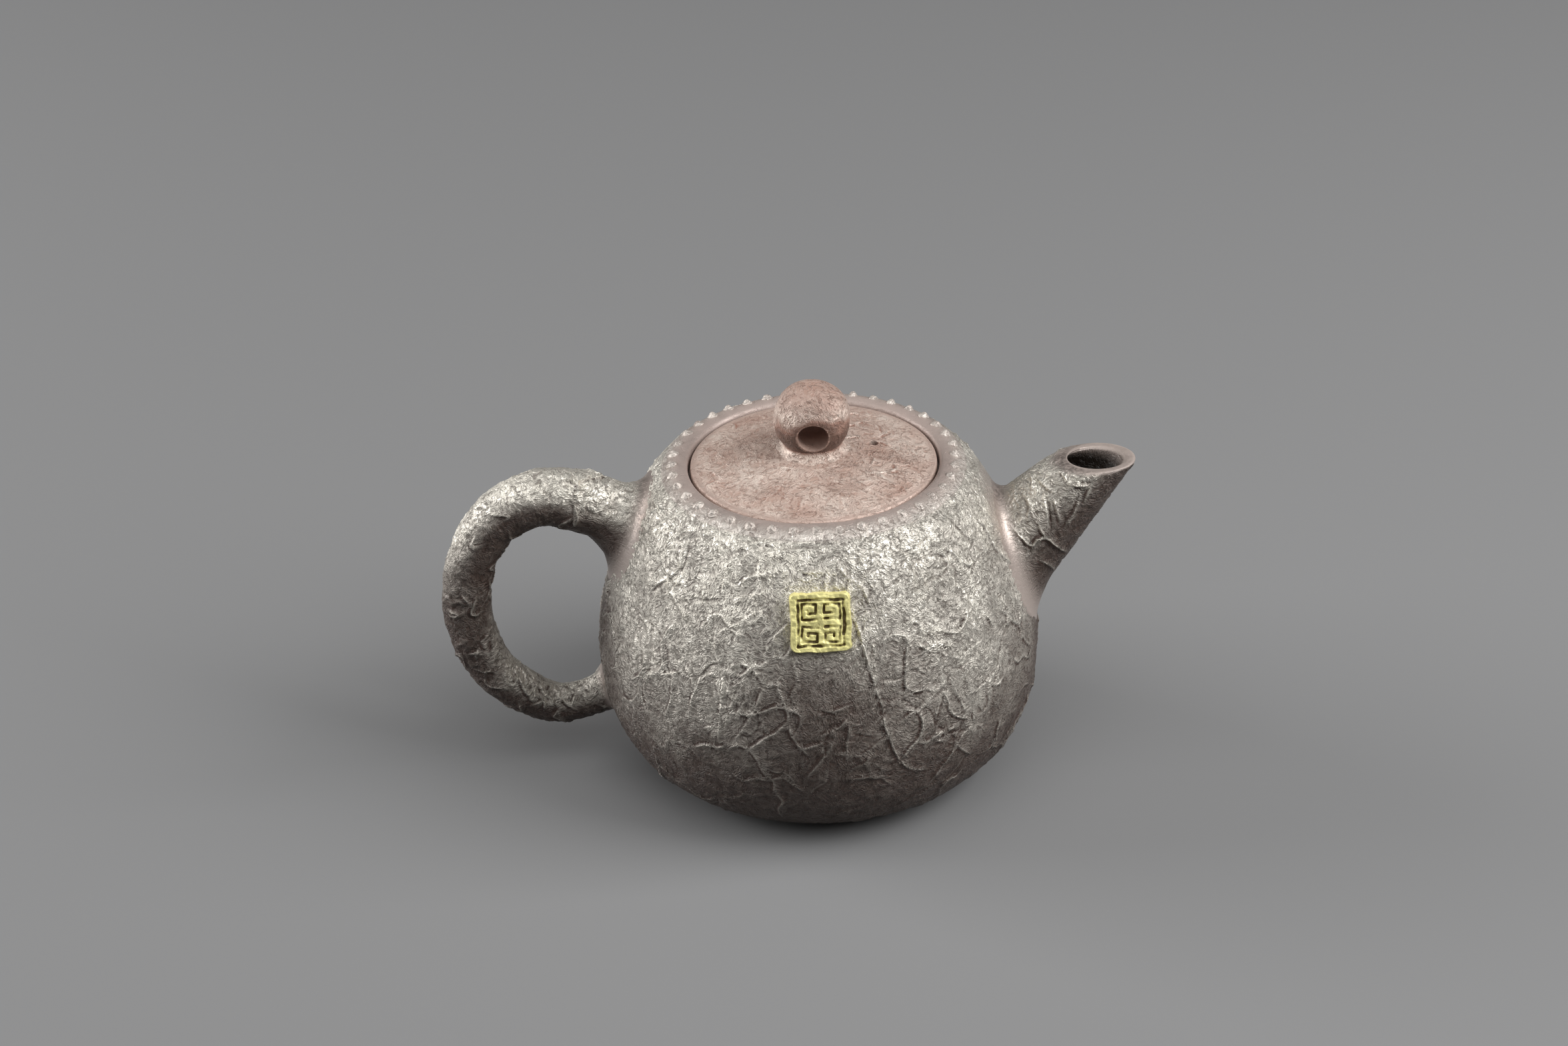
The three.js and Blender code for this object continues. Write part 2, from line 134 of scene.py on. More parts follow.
# Body wall: clay beaten thin over a form, dusted and stretched from inside until its skin
# crinkled like bark. Seven strainer holes are drilled through it behind the spout.
# Sizes are in millimetres, and each piece is scaled to metres once it is shaped.
MM = 0.001
BELLY_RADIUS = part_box("body_wall")[1].y / MM
BELLY_HEIGHT = 29.0
RIM_HEIGHT = 70.3
MOUTH_RADIUS = 26.4
WALL = 2.8
FOOT_RADIUS = 24.0
JOINT_LINE = 0.3                  # between two pieces luted together
BASE_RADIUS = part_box("base_disc")[1].y / MM + JOINT_LINE / 2
SHOULDER_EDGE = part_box("shoulder_ring")[1].y / MM + JOINT_LINE / 2
SKIN_STEP = 0.53                  # size of the skin's smallest faces
WALL_STEPS_ROUND = 560
SKIN_CURVES = (
    ((FOOT_RADIUS, 0), (26, 0), (BELLY_RADIUS, 0), (BELLY_RADIUS, BELLY_HEIGHT)),
    ((BELLY_RADIUS, BELLY_HEIGHT), (BELLY_RADIUS, 45.1), (34.7, 75.9), (26.2, RIM_HEIGHT)),
)


def bezier(curve, t):
    """Point at t on a curve of four control points."""
    a, b, c, d = (Vector(point) for point in curve)
    return (1 - t) ** 3 * a + 3 * (1 - t) ** 2 * t * b + 3 * (1 - t) * t ** 2 * c + t ** 3 * d


def evenly(points, step):
    """The same line with its points a step apart."""
    kept, carried = [points[0]], 0.0
    for a, b in zip(points, points[1:]):
        length = (b - a).length
        while carried + length >= step:
            a = a.lerp(b, (step - carried) / length)
            kept.append(a)
            length, carried = (b - a).length, 0.0
        carried += length
    return kept if carried < step / 2 else kept + [points[-1]]


outline = evenly([bezier(curve, i / 400) for curve in SKIN_CURVES for i in range(401)], 0.25)
skin_line = kdtree.KDTree(len(outline))
for i, spot in enumerate(outline):
    skin_line.insert((spot.x, spot.y, 0), i)
skin_line.balance()


def above_skin(point):
    """How far a point in millimetres stands off the pot's smooth skin, and which way is out."""
    radius = max(math.hypot(point.x, point.y), 1e-6)
    i = min(max(skin_line.find((radius, point.z, 0))[1], 1), len(outline) - 2)
    along = (outline[i + 1] - outline[i - 1]).normalized()
    out = Vector((along.y, -along.x))
    height = (Vector((radius, point.z)) - outline[i]).dot(out)
    return height, Vector((out.x * point.x / radius, out.x * point.y / radius, out.y))


def spun(profile, steps, closed=False):
    """A profile of (radius, height) points turned once round the upright axis."""
    shape = bmesh.new()
    verts = [shape.verts.new((radius, 0, height)) for radius, height in profile]
    pairs = list(zip(verts, verts[1:])) + ([(verts[-1], verts[0])] if closed else [])
    edges = [shape.edges.new(pair) for pair in pairs]
    bmesh.ops.spin(shape, geom=verts + edges, cent=(0, 0, 0), axis=(0, 0, 1), angle=2 * math.pi,
                   steps=steps, use_merge=True)
    bmesh.ops.remove_doubles(shape, verts=shape.verts, dist=1e-4)
    bmesh.ops.recalc_face_normals(shape, faces=shape.faces)
    return shape


def bored(shape, drill):
    """The shape with the drill's space cut out of it."""
    meshes = []
    for part in (shape, drill):
        mesh = bpy.data.meshes.new("blank")
        part.to_mesh(mesh)
        part.free()
        meshes.append(mesh)
    blank, tool = (bpy.data.objects.new("blank", mesh) for mesh in meshes)
    for made in (blank, tool):
        bpy.context.scene.collection.objects.link(made)
    cut = blank.modifiers.new("bore", "BOOLEAN")
    cut.object = tool
    cut.operation = "DIFFERENCE"
    cut.solver = "MANIFOLD"
    solid = blank.evaluated_get(bpy.context.evaluated_depsgraph_get())
    result = bmesh.new()
    result.from_mesh(solid.to_mesh())
    for made, mesh in zip((blank, tool), meshes):
        bpy.data.objects.remove(made)
        bpy.data.meshes.remove(mesh)
    return result


def rod(start, end, radius, steps=24):
    """A round rod from one point to another."""
    along = end - start
    turn = along.to_track_quat("Z", "Y").to_matrix().to_4x4()
    shape = bmesh.new()
    bmesh.ops.create_cone(shape, cap_ends=True, segments=steps, radius1=radius, radius2=radius,
                          depth=along.length, matrix=Matrix.Translation((start + end) / 2) @ turn)
    return shape


def smooth_step(low, high, value):
    """0 below low, 1 above high, and an even slope between."""
    share = min(max((value - low) / (high - low), 0.0), 1.0)
    return share * share * (3 - 2 * share)


def ridge(value, width):
    """1 on a crest, where the value is 0, falling off to both sides."""
    return math.exp(-(value / width) ** 2)


def crinkle(point, seed, stretch=1.0):
    """Height in millimetres of the crinkled skin at a point: soft dents, folds in patches, and short
    strokes that lie level in some patches and stand upright in others. Its mean is about zero."""
    at = Vector((point.x, point.y, point.z * stretch)) + Vector((seed, 2 * seed, 3 * seed))
    bent = at + 2.2 * noise.noise_vector(at / 6) + 0.7 * noise.noise_vector(at / 2.2)
    cells = noise.voronoi(bent / 5.5)[0]
    folded = min(max(0.15 + 2.2 * noise.noise(at / 10 + Vector((5, 0, 0))), 0.0), 1.0)
    level = ridge(noise.noise(Vector((bent.x / 3.4, bent.y / 3.4, bent.z / 1.25))), 0.24)
    steep = ridge(noise.noise(Vector((bent.x / 1.5, bent.y / 1.5, bent.z / 4.2 + 9))), 0.24)
    upright = smooth_step(-0.12, 0.18, noise.noise(at / 13 + Vector((0, 7, 0))))
    strokes = level + (steep - level) * upright
    dents = noise.noise(bent / 9)
    return 0.14 * dents + 0.24 * folded * ridge(cells[1] - cells[0], 0.08) + 0.19 * strokes - 0.12


# Folds of the front, each with its height in millimetres and points of the photograph on it.
FRONT_FOLDS = (
    (0.55, ((1282, 924), (1289, 950), (1295, 970), (1301, 993), (1309, 1016), (1314, 1036), (1325, 1062))),
    (0.50, ((1325, 1062), (1326, 1085), (1335, 1108), (1341, 1125), (1352, 1142), (1367, 1152), (1388, 1153))),
    (0.45, ((1324, 962), (1329, 957), (1341, 952), (1352, 953), (1359, 958), (1362, 967), (1369, 970))),
    (0.50, ((1378, 946), (1401, 945), (1427, 948), (1435, 947), (1447, 930), (1451, 909))),
    (0.55, ((1369, 970), (1387, 968), (1407, 965), (1425, 967), (1430, 954))),
    (0.45, ((1361, 967), (1359, 984), (1358, 998), (1357, 1013), (1359, 1030), (1369, 1036), (1390, 1033))),
    (0.40, ((1390, 1033), (1401, 1036), (1411, 1029), (1416, 1020), (1412, 1008))),
    (0.45, ((1411, 1029), (1414, 1039), (1421, 1050), (1423, 1062), (1433, 1073), (1453, 1076))),
    (0.40, ((1411, 1030), (1398, 1044), (1384, 1059), (1367, 1069), (1355, 1080))),
    (0.50, ((1430, 1089), (1418, 1096), (1404, 1102), (1387, 1113), (1378, 1113))),
    (0.35, ((1398, 1108), (1425, 1112), (1447, 1126), (1456, 1131))),
    (0.40, ((1472, 1128), (1484, 1120), (1490, 1112))),
    (0.35, ((1408, 1183), (1420, 1170), (1436, 1160), (1444, 1150))),
    (0.30, ((1452, 1040), (1470, 1030), (1484, 1014))),
    (0.30, ((1440, 990), (1452, 975), (1470, 962))),
    (0.45, ((1085, 1008), (1098, 1008), (1110, 1014), (1118, 1010), (1127, 1001), (1136, 1013), (1147, 1026))),
    (0.45, ((1147, 1026), (1156, 1027), (1166, 1027), (1167, 1034), (1177, 1056), (1182, 1073), (1183, 1084))),
    (0.45, ((1182, 1082), (1173, 1090), (1163, 1099), (1150, 1105), (1140, 1112), (1130, 1119), (1121, 1125))),
    (0.35, ((1183, 1084), (1186, 1099), (1196, 1116), (1213, 1133))),
    (0.40, ((1085, 1008), (1084, 1027), (1082, 1050), (1081, 1070), (1078, 1093), (1078, 1110))),
    (0.30, ((1110, 1027), (1107, 1038), (1097, 1059), (1091, 1073), (1087, 1090))),
    (0.30, ((1146, 1030), (1140, 1044), (1134, 1062), (1127, 1073), (1116, 1090), (1100, 1112))),
    (0.30, ((1122, 1030), (1118, 1046), (1108, 1066), (1101, 1084))),
    (0.40, ((1052, 1007), (1049, 1021), (1045, 1033), (1038, 1047), (1035, 1067))),
    (0.35, ((1009, 1014), (1008, 1030), (1006, 1050), (998, 1073))),
    (0.35, ((966, 1010), (985, 1011), (1004, 1010), (1024, 1006))),
    (0.40, ((1041, 1120), (1058, 1116), (1078, 1120), (1092, 1116))),
    (0.30, ((1050, 1094), (1064, 1090), (1076, 1092))),
    (0.40, ((1184, 934), (1173, 944), (1163, 953), (1157, 964), (1151, 973), (1146, 983))),
    (0.35, ((1075, 954), (1084, 945), (1095, 944), (1104, 950), (1102, 960), (1092, 968))),
    (0.30, ((1104, 941), (1110, 951), (1119, 954))),
    (0.35, ((1233, 1064), (1250, 1067), (1262, 1062), (1275, 1058))),
    (0.35, ((1272, 1077), (1273, 1096), (1270, 1116), (1270, 1142))),
    (0.30, ((1272, 1077), (1259, 1090), (1240, 1100), (1228, 1104))),
    (0.30, ((1253, 1096), (1248, 1116), (1230, 1142), (1210, 1165))),
    (0.25, ((1276, 1086), (1290, 1086), (1298, 1084))),
    (0.40, ((1121, 819), (1130, 815), (1150, 815), (1164, 823), (1169, 830))),
    (0.35, ((1169, 829), (1190, 826), (1210, 825), (1226, 824))),
    (0.45, ((1199, 853), (1207, 858), (1224, 857), (1236, 855), (1245, 850), (1253, 846))),
    (0.40, ((1265, 817), (1269, 826), (1282, 829), (1289, 835), (1291, 843), (1300, 858), (1312, 876))),
    (0.40, ((1259, 849), (1268, 863), (1282, 873), (1293, 881), (1299, 894), (1307, 910))),
    (0.30, ((1278, 846), (1290, 856), (1302, 870), (1314, 890))),
    (0.30, ((1264, 883), (1280, 884), (1292, 885))),
    (0.30, ((1085, 848), (1088, 861), (1085, 878), (1082, 895))),
    (0.30, ((1104, 878), (1124, 866), (1143, 862), (1160, 864))),
    (0.25, ((1100, 900), (1128, 892), (1150, 890))),
)
# Cracks are fine open lines in the skin, given the same way.
FRONT_CRACKS = (
    (-0.45, ((1036, 807), (1029, 835), (1021, 855), (1003, 869), (983, 881), (975, 889))),
    (-0.30, ((1422, 776), (1438, 793), (1453, 809), (1467, 822), (1480, 832))),
    (-0.35, ((1341, 873), (1352, 863), (1366, 853), (1377, 840), (1390, 833), (1407, 832), (1424, 839))),
    (-0.35, ((1364, 886), (1384, 878), (1398, 866), (1412, 863), (1425, 846))),
    (-0.30, ((1424, 839), (1431, 852), (1434, 870), (1436, 886))),
    (-0.25, ((1341, 839), (1355, 842), (1372, 839))),
    (-0.25, ((1338, 819), (1349, 823), (1361, 828), (1366, 833))),
    (-0.25, ((1341, 858), (1354, 858), (1364, 853))),
    (-0.25, ((1399, 889), (1412, 908), (1424, 922))),
    (-0.30, ((1534, 893), (1536, 915), (1530, 944), (1531, 960))),
    (-0.25, ((1492, 885), (1500, 896), (1503, 906))),
    (-0.25, ((1018, 905), (1040, 898), (1062, 900), (1086, 898))),
    (-0.20, ((1028, 868), (1044, 874), (1058, 880))),
)
FOLD_WIDTH = 0.5
FOLD_REACH = 1.4                  # how far to its sides a fold's sharp crest is marked
CRACK_WIDTH = 0.4
BACK_FOLDS = 170
FRONT_FINE_FOLDS = 120
# Painted shade: the dark brown painted inside the spout's bore and under the knob's ball.
PAINTED_SHADE_BROWN = (0.022, 0.015, 0.011, 1)
SCENE_SEED = 11


def photo_ray(pixel):
    """The camera's place and the line of sight through a pixel of the photograph, in millimetres."""
    x = (pixel[0] - FRAME_WIDTH / 2) / FOCAL_PIXELS
    y = (FRAME_HEIGHT / 2 - pixel[1]) / FOCAL_PIXELS
    return camera.matrix_world.translation / MM, (camera_turn.to_3x3() @ Vector((x, y, -1))).normalized()


def seen_at(pixel, above):
    """The place on a surface that a pixel of the photograph shows, where above() gives a point's height
    and the way out. A line of sight that just misses the surface ends where it passes nearest to it."""
    start, sight = photo_ray(pixel)
    reach = 600.0
    for _ in range(60):
        height, out = above(start + reach * sight)
        if height > 0 and out.dot(sight) > 0:
            break
        reach += 0.7 * height
    return start + reach * sight


def through(points, step):
    """A smooth line through points, as a centripetal spline, with its points a step apart."""
    points = [2 * points[0] - points[1], *points, 2 * points[-1] - points[-2]]
    line = []
    for a, b, c, d in zip(points, points[1:], points[2:], points[3:]):
        knot_b = math.sqrt((b - a).length)
        knot_c = knot_b + math.sqrt((c - b).length)
        knot_d = knot_c + math.sqrt((d - c).length)
        for i in range(25):
            knot = knot_b + (knot_c - knot_b) * i / 24
            ab = a.lerp(b, knot / knot_b)
            bc = b.lerp(c, (knot - knot_b) / (knot_c - knot_b))
            cd = c.lerp(d, (knot - knot_c) / (knot_d - knot_c))
            abc = ab.lerp(bc, knot / knot_c)
            bcd = bc.lerp(cd, (knot - knot_b) / (knot_d - knot_b))
            line.append(abc.lerp(bcd, (knot - knot_b) / (knot_c - knot_b)))
    return evenly(line, step)


def snapped(point, above):
    """The nearest place on a surface."""
    height, out = above(point)
    return point - height * out


def skin_place(bearing, height):
    """A place on the skin above the foot, by its bearing from the seal side and its height."""
    spot = min(outline, key=lambda place: abs(place.y - height) + (1000 if place.x < 30 else 0))
    return Vector((spot.x * math.sin(bearing), -spot.x * math.cos(bearing), spot.y))


def wandering_fold(dice, bearings, lifts):
    """A fold that wanders over the skin with sharp turns, from a place between two bearings."""
    bearing = math.radians(dice.uniform(*bearings))
    height = dice.uniform(5, 66)
    heading = dice.uniform(0, 2 * math.pi)
    points = []
    for _ in range(dice.randint(3, 7)):
        points.append(skin_place(bearing, height))
        heading += dice.uniform(-1.0, 1.0)
        bearing += 3.0 * math.cos(heading) / BELLY_RADIUS
        height = min(max(height + 3.0 * math.sin(heading), 4), 67)
    return dice.uniform(*lifts), points


def mapped(folds, above):
    """Every fold as a smooth line of spots, each with its height and direction, and a map to find them by."""
    spots = []
    for lift, points in folds:
        line = [snapped(point, above) for point in through(points, 0.25)]
        for i, point in enumerate(line):
            along = (line[min(i + 1, len(line) - 1)] - line[max(i - 1, 0)]).normalized()
            end = min(1.0, 0.2 + min(i, len(line) - 1 - i) / 8)
            spots.append((point, lift * end * (0.85 + 0.5 * noise.noise(point / 2)), along))
    chart = kdtree.KDTree(len(spots))
    for i, (point, _, _) in enumerate(spots):
        chart.insert(point, i)
    chart.balance()
    return spots, chart


def fold_at(point, out, folds):
    """A fold's height at a place on the skin, and its side and strength there for the sharp crest.
    A fold is a narrow crest with the skin raised on one side of it and a thin trough on the other."""
    spots, chart = folds
    near, i, distance = chart.find(point)
    if distance > 4:
        return 0.0, FOLD_REACH, 0.0
    _, lift, along = spots[i]
    side = (point - near).dot(along.cross(out))
    if along.z > 0 or (abs(along.z) < 0.1 and along.x < 0):
        side = -side
    past_end = math.sqrt(max(distance ** 2 - side ** 2, 0.0))
    strength = lift * ridge(past_end, 0.7)
    marked = strength * (1 - smooth_step(0.5 * FOLD_REACH, FOLD_REACH, distance))
    if lift < 0:
        return strength * ridge(side, CRACK_WIDTH), side, marked
    width = FOLD_WIDTH * (1 + 0.3 * noise.noise(point / 1.5))
    flap = 0.3 * math.exp(side / 1.6) if side < 0 else 0.0
    trough = 0.25 * ridge(side - 2 * width, width)
    return strength * (ridge(side, width) + flap - trough), side, marked


dice = random.Random(SCENE_SEED)
skin_folds = [(0.8 * lift, [seen_at(pixel, above_skin) for pixel in pixels])
              for lift, pixels in FRONT_FOLDS + FRONT_CRACKS]
skin_folds += [wandering_fold(dice, (50, 310), (0.2, 0.45)) for _ in range(BACK_FOLDS)]
skin_folds += [wandering_fold(dice, (-60, 60), (-0.25, 0.35)) for _ in range(FRONT_FINE_FOLDS)]
wall_folds = mapped(skin_folds, above_skin)


def bloom_and_painted_light_at(point, out, painted_shade_strength=0.93, least=-0.30):
    """How silvery the clay is at a place, partly kiln bloom that drifts at random and partly painted light: much
    where it faces up, none where it faces down past the least, which is painted shade, and little on the lower half
    below the seal, at the two ends and opposite the seal, also painted shade."""
    drift = 0.16 * noise.noise(point / 9) + 0.08 * noise.noise(point / 3)
    bearing = abs(math.atan2(point.x, -point.y)) + 0.15 * noise.noise(point / 14)
    # Painted shade: a darker strip below the seal, at the two ends and opposite the seal.
    painted_shade_zones = max(ridge(bearing, 0.36), ridge(bearing - 1.50, 0.26), ridge(bearing - math.pi, 0.36))
    painted_shade_zones *= 1 - smooth_step(36, 57, point.z + 4 * noise.noise(point / 11))
    # Painted light: lighter where the skin faces up, darker where it faces down as painted shade.
    return smooth_step(least, 0.55, out.z + drift) * (1 - painted_shade_strength * painted_shade_zones)


def marked_layers(shape):
    """The layers that a clay finish reads: height, roughness, bloom with painted light, and the side and strength of
    a fold.
    Below 0 the bloom layer paints the clay towards a dark brown as painted shade, inside the spout's bore and under
    the knob's ball."""
    names = ("relief", "rough", "bloom_and_painted_light", "fold_side", "fold_lift")
    return [shape.verts.layers.float.new(name) for name in names]


def place(shape, name, finish, body, slot, *nodes, sharp=1.0):
    """Turns a shape modelled in millimetres into a finished piece that rides on its body."""
    for edge in shape.edges:
        edge.smooth = not edge.is_manifold or edge.calc_face_angle() < sharp
    bmesh.ops.scale(shape, vec=(MM, MM, MM), verts=shape.verts)
    for face in shape.faces:
        face.smooth = True
    mesh = bpy.data.meshes.new(name)
    shape.to_mesh(mesh)
    shape.free()
    mesh.materials.append(finish)
    made = bpy.data.objects.new(name, mesh)
    bpy.context.scene.collection.objects.link(made)
    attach(made, body)
    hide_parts(*nodes)
    return made


def math_of(tree, operation, *values, **settings):
    """A Math node's result from one to three values or sockets."""
    return wire(tree, "Math", dict(enumerate(values)), operation=operation, **settings)[0]


def spread(tree, value, low, high, to_low=0.0, to_high=1.0):
    """The value carried from one range to another, and held at its ends."""
    return wire(tree, "MapRange", {"Value": value, "From Min": low, "From Max": high,
                                   "To Min": to_low, "To Max": to_high})[0]


def crest_of(tree, value, centre, width):
    """1 where the value is at the centre, falling off to both sides as a bell."""
    off = math_of(tree, "MULTIPLY_ADD", value, 1 / width, -centre / width)
    return math_of(tree, "EXPONENT", math_of(tree, "MULTIPLY", math_of(tree, "MULTIPLY", off, off), -1.0))


def strokes(tree, spot, scale):
    """Short crisp wrinkles, drawn out along the axes where the scale is small."""
    drawn = wire(tree, "VectorMath", {0: spot, 1: scale}, operation="MULTIPLY")[0]
    return wire(tree, "TexNoise", {"Vector": drawn, "Scale": 1.0, "Detail": 2.5, "Roughness": 0.6,
                                   "Lacunarity": 2.2, "Offset": 0.9, "Gain": 2.0},
                noise_type="RIDGED_MULTIFRACTAL")[0]


def clay(name, brown, silver, smooth, bloom, roughness, wrinkle_depth, grain, stretch=(0.55, 1.7)):
    """Fired clay: brown where its bloom layer is low and silvery where it is high, partly kiln bloom and partly
    painted light, and of one even tone where it is smooth. Raised relief and fold crests are lighter as painted
    highlight, pits and fold troughs darker as painted shade. The bloom is given as its least and most metallic."""
    made = bpy.data.materials.new(name)
    made.use_nodes = True
    tree = made.node_tree
    surface = tree.nodes["Principled BSDF"]
    spot = wire(tree, "Mapping", {"Vector": wire(tree, "TexCoord", {})["Object"], "Scale": (1000, 1000, 1000)})[0]
    relief, rough, bloom_and_painted_light, side, lift = (wire(tree, "Attribute", {}, attribute_name=layer)["Fac"]
                                        for layer in ("relief", "rough", "bloom_and_painted_light", "fold_side", "fold_lift"))

    drift = wire(tree, "TexNoise", {"Vector": spot, "Scale": 0.20, "Detail": 3.0})["Color"]
    shift = wire(tree, "VectorMath", {0: drift, 1: (0.5, 0.5, 0.5)}, operation="SUBTRACT")[0]
    bent = wire(tree, "VectorMath", {0: shift, 1: (7, 7, 7), 2: spot}, operation="MULTIPLY_ADD")[0]
    long, short = stretch
    level = strokes(tree, bent, (long, long, short))
    steep = strokes(tree, bent, (short, short, long))
    patches = wire(tree, "TexNoise", {"Vector": spot, "Scale": 0.07, "Detail": 2.0})[0]
    upright = spread(tree, patches, 0.47, 0.57)
    wrinkles = wire(tree, "Mix", {0: upright, 2: level, 3: steep})[0]
    # A fold's crest and the trough beside it: bumps, and also a painted highlight and a painted shadow in the colour.
    fold = math_of(tree, "MULTIPLY", lift, crest_of(tree, side, 0.0, 0.22))
    under = math_of(tree, "MULTIPLY", lift, crest_of(tree, side, 0.55, 0.25))

    pits = wire(tree, "TexNoise", {"Vector": bent, "Scale": 0.9, "Detail": 3.0, "Roughness": 0.7})[0]
    deep = spread(tree, pits, 0.37, 0.45)
    fine = spread(tree, wrinkles, 0.25, 1.5)
    tall = spread(tree, relief, -0.22, 0.20)
    # Painted light: lighter on raised relief and fine wrinkles, and, as painted shade, darker in pits.
    painted_crest_light_and_pit_shade = math_of(tree, "MULTIPLY_ADD", tall, 0.35, math_of(tree, "MULTIPLY", fine, 0.65))
    painted_crest_light_and_pit_shade = math_of(tree, "MULTIPLY", painted_crest_light_and_pit_shade, deep)
    cloud = wire(tree, "TexNoise", {"Vector": spot, "Scale": 0.13, "Detail": 4.0, "Roughness": 0.6})[0]
    clouded = math_of(tree, "MULTIPLY_ADD", spread(tree, cloud, 0.35, 0.65), 0.4, 0.7)
    silver_and_painted_light = math_of(tree, "MULTIPLY", spread(tree, bloom_and_painted_light, 0.0, 1.0), clouded)
    silver_and_painted_light = math_of(tree, "MULTIPLY", silver_and_painted_light, math_of(tree, "MULTIPLY_ADD", painted_crest_light_and_pit_shade, 0.75, 0.40))
    # Painted highlight: a little silver on the highest relief even without bloom.
    painted_crest_glints = math_of(tree, "MULTIPLY", painted_crest_light_and_pit_shade, painted_crest_light_and_pit_shade)
    silver_and_painted_light = math_of(tree, "MULTIPLY_ADD", painted_crest_glints, 0.16, silver_and_painted_light)
    # Painted highlight along each fold's crest, painted shadow in the trough beside it.
    silver_and_painted_light = math_of(tree, "MULTIPLY_ADD", fold, 0.8, silver_and_painted_light)
    silver_and_painted_light = math_of(tree, "MULTIPLY_ADD", under, -1.2, silver_and_painted_light, use_clamp=True)
    skin = wire(tree, "Mix", {0: silver_and_painted_light, 6: (*brown, 1), 7: (*silver, 1)}, data_type="RGBA")[2]
    colour = wire(tree, "Mix", {0: rough, 6: (*smooth, 1), 7: skin}, data_type="RGBA")[2]
    # Painted shade: where the bloom layer is below 0, the colour goes towards a dark brown.
    painted_shade = spread(tree, bloom_and_painted_light, 0.0, -1.0)
    colour = wire(tree, "Mix", {0: painted_shade, 6: colour, 7: PAINTED_SHADE_BROWN}, data_type="RGBA")[2]
    tree.links.new(colour, surface.inputs["Base Color"])
    tree.links.new(spread(tree, silver_and_painted_light, 0.0, 1.0, *bloom), surface.inputs["Metallic"])
    haze = spread(tree, patches, 0.3, 0.7, roughness - 0.04, roughness + 0.05)
    tree.links.new(haze, surface.inputs["Roughness"])

    pores = wire(tree, "TexNoise", {"Vector": spot, "Scale": 4.0, "Detail": 2.0, "Roughness": 0.6})[0]
    depth = math_of(tree, "MULTIPLY_ADD", rough, wrinkle_depth, 0.1 * wrinkle_depth)
    height = math_of(tree, "MULTIPLY", wrinkles, depth)
    height = math_of(tree, "MULTIPLY_ADD", deep, math_of(tree, "MULTIPLY", depth, 1.3), height)
    height = math_of(tree, "MULTIPLY_ADD", pores, grain, height)
    height = math_of(tree, "MULTIPLY_ADD", fold, 0.55, height)
    height = math_of(tree, "MULTIPLY_ADD", under, -0.35, height)
    bump = wire(tree, "Bump", {"Strength": 1.0, "Distance": MM, "Height": height})[0]
    tree.links.new(bump, surface.inputs["Normal"])
    return made


rough_clay = clay("rough_clay", brown=(0.09, 0.058, 0.046), silver=(0.96, 0.91, 0.81),
                  smooth=(0.46, 0.385, 0.345), bloom=(0.05, 0.85), roughness=0.42,
                  wrinkle_depth=0.14, grain=0.03)

base_joint = next(i for i, spot in enumerate(outline) if spot.x > BASE_RADIUS)
shoulder_joint = max(i for i, spot in enumerate(outline) if spot.x > SHOULDER_EDGE)
wall_outline = outline[base_joint:shoulder_joint + 1]
wall_profile = [(point.x, point.y) for point in evenly(wall_outline, SKIN_STEP)]
for point in reversed(evenly(wall_outline, 6.5)):
    _, out = above_skin(Vector((point.x, 0, point.y)))
    wall_profile.append((point.x - WALL * out.x, point.y - WALL * out.z))
wall = spun(wall_profile, WALL_STEPS_ROUND, closed=True)

SPOUT_SPOT = Vector((40.0, 0, 54.0))
HANDLE_TOP_SPOT = Vector((-38.5, 0, 57.0))
HANDLE_TAIL_SPOT = Vector((-43.0, 0, 15.5))


def crinkled_share(point):
    """1 where the skin is crinkled, less on the shoulder, at the foot and round the roots of spout and handle."""
    share = smooth_step(0.3, 5.0, point.z)
    if point.z > BELLY_HEIGHT:
        share *= smooth_step(-0.2, 0.4, math.hypot(point.x, point.y) - SHOULDER_EDGE)
    share *= 0.35 + 0.65 * smooth_step(11, 15.5, (point - SPOUT_SPOT).length)
    share *= 0.35 + 0.65 * smooth_step(8, 12, (point - HANDLE_TOP_SPOT).length)
    share *= 0.35 + 0.65 * smooth_step(5, 8, (point - HANDLE_TAIL_SPOT).length)
    return share


relief_layer, rough_layer, bloom_and_painted_light_layer, side_layer, lift_layer = marked_layers(wall)
for vert in wall.verts:
    height, out = above_skin(vert.co)
    if height < -0.5 * WALL:
        vert[rough_layer] = 0.15
        continue
    rough = crinkled_share(vert.co)
    folded, vert[side_layer], marked = fold_at(vert.co, out, wall_folds)
    lift = rough * (crinkle(vert.co, 0, 1.2) + folded)
    vert[relief_layer] = lift
    vert[rough_layer] = rough
    vert[bloom_and_painted_light_layer] = bloom_and_painted_light_at(vert.co, out)
    vert[lift_layer] = rough * marked
    vert.co += lift * out

# Spout axis, from the middle of its mouth down into the belly
SPOUT_RISE = math.radians(47.5)
SPOUT_TIP = Vector((60.0, 0, 68.8))
SPOUT_AXIS = Vector((math.cos(SPOUT_RISE), 0, math.sin(SPOUT_RISE)))
SPOUT_ACROSS = Vector((-math.sin(SPOUT_RISE), 0, math.cos(SPOUT_RISE)))
STRAINER_HOLE_RADIUS = 1.1
STRAINER_RING_RADIUS = 4.2
STRAINER_RING_HOLES = 6

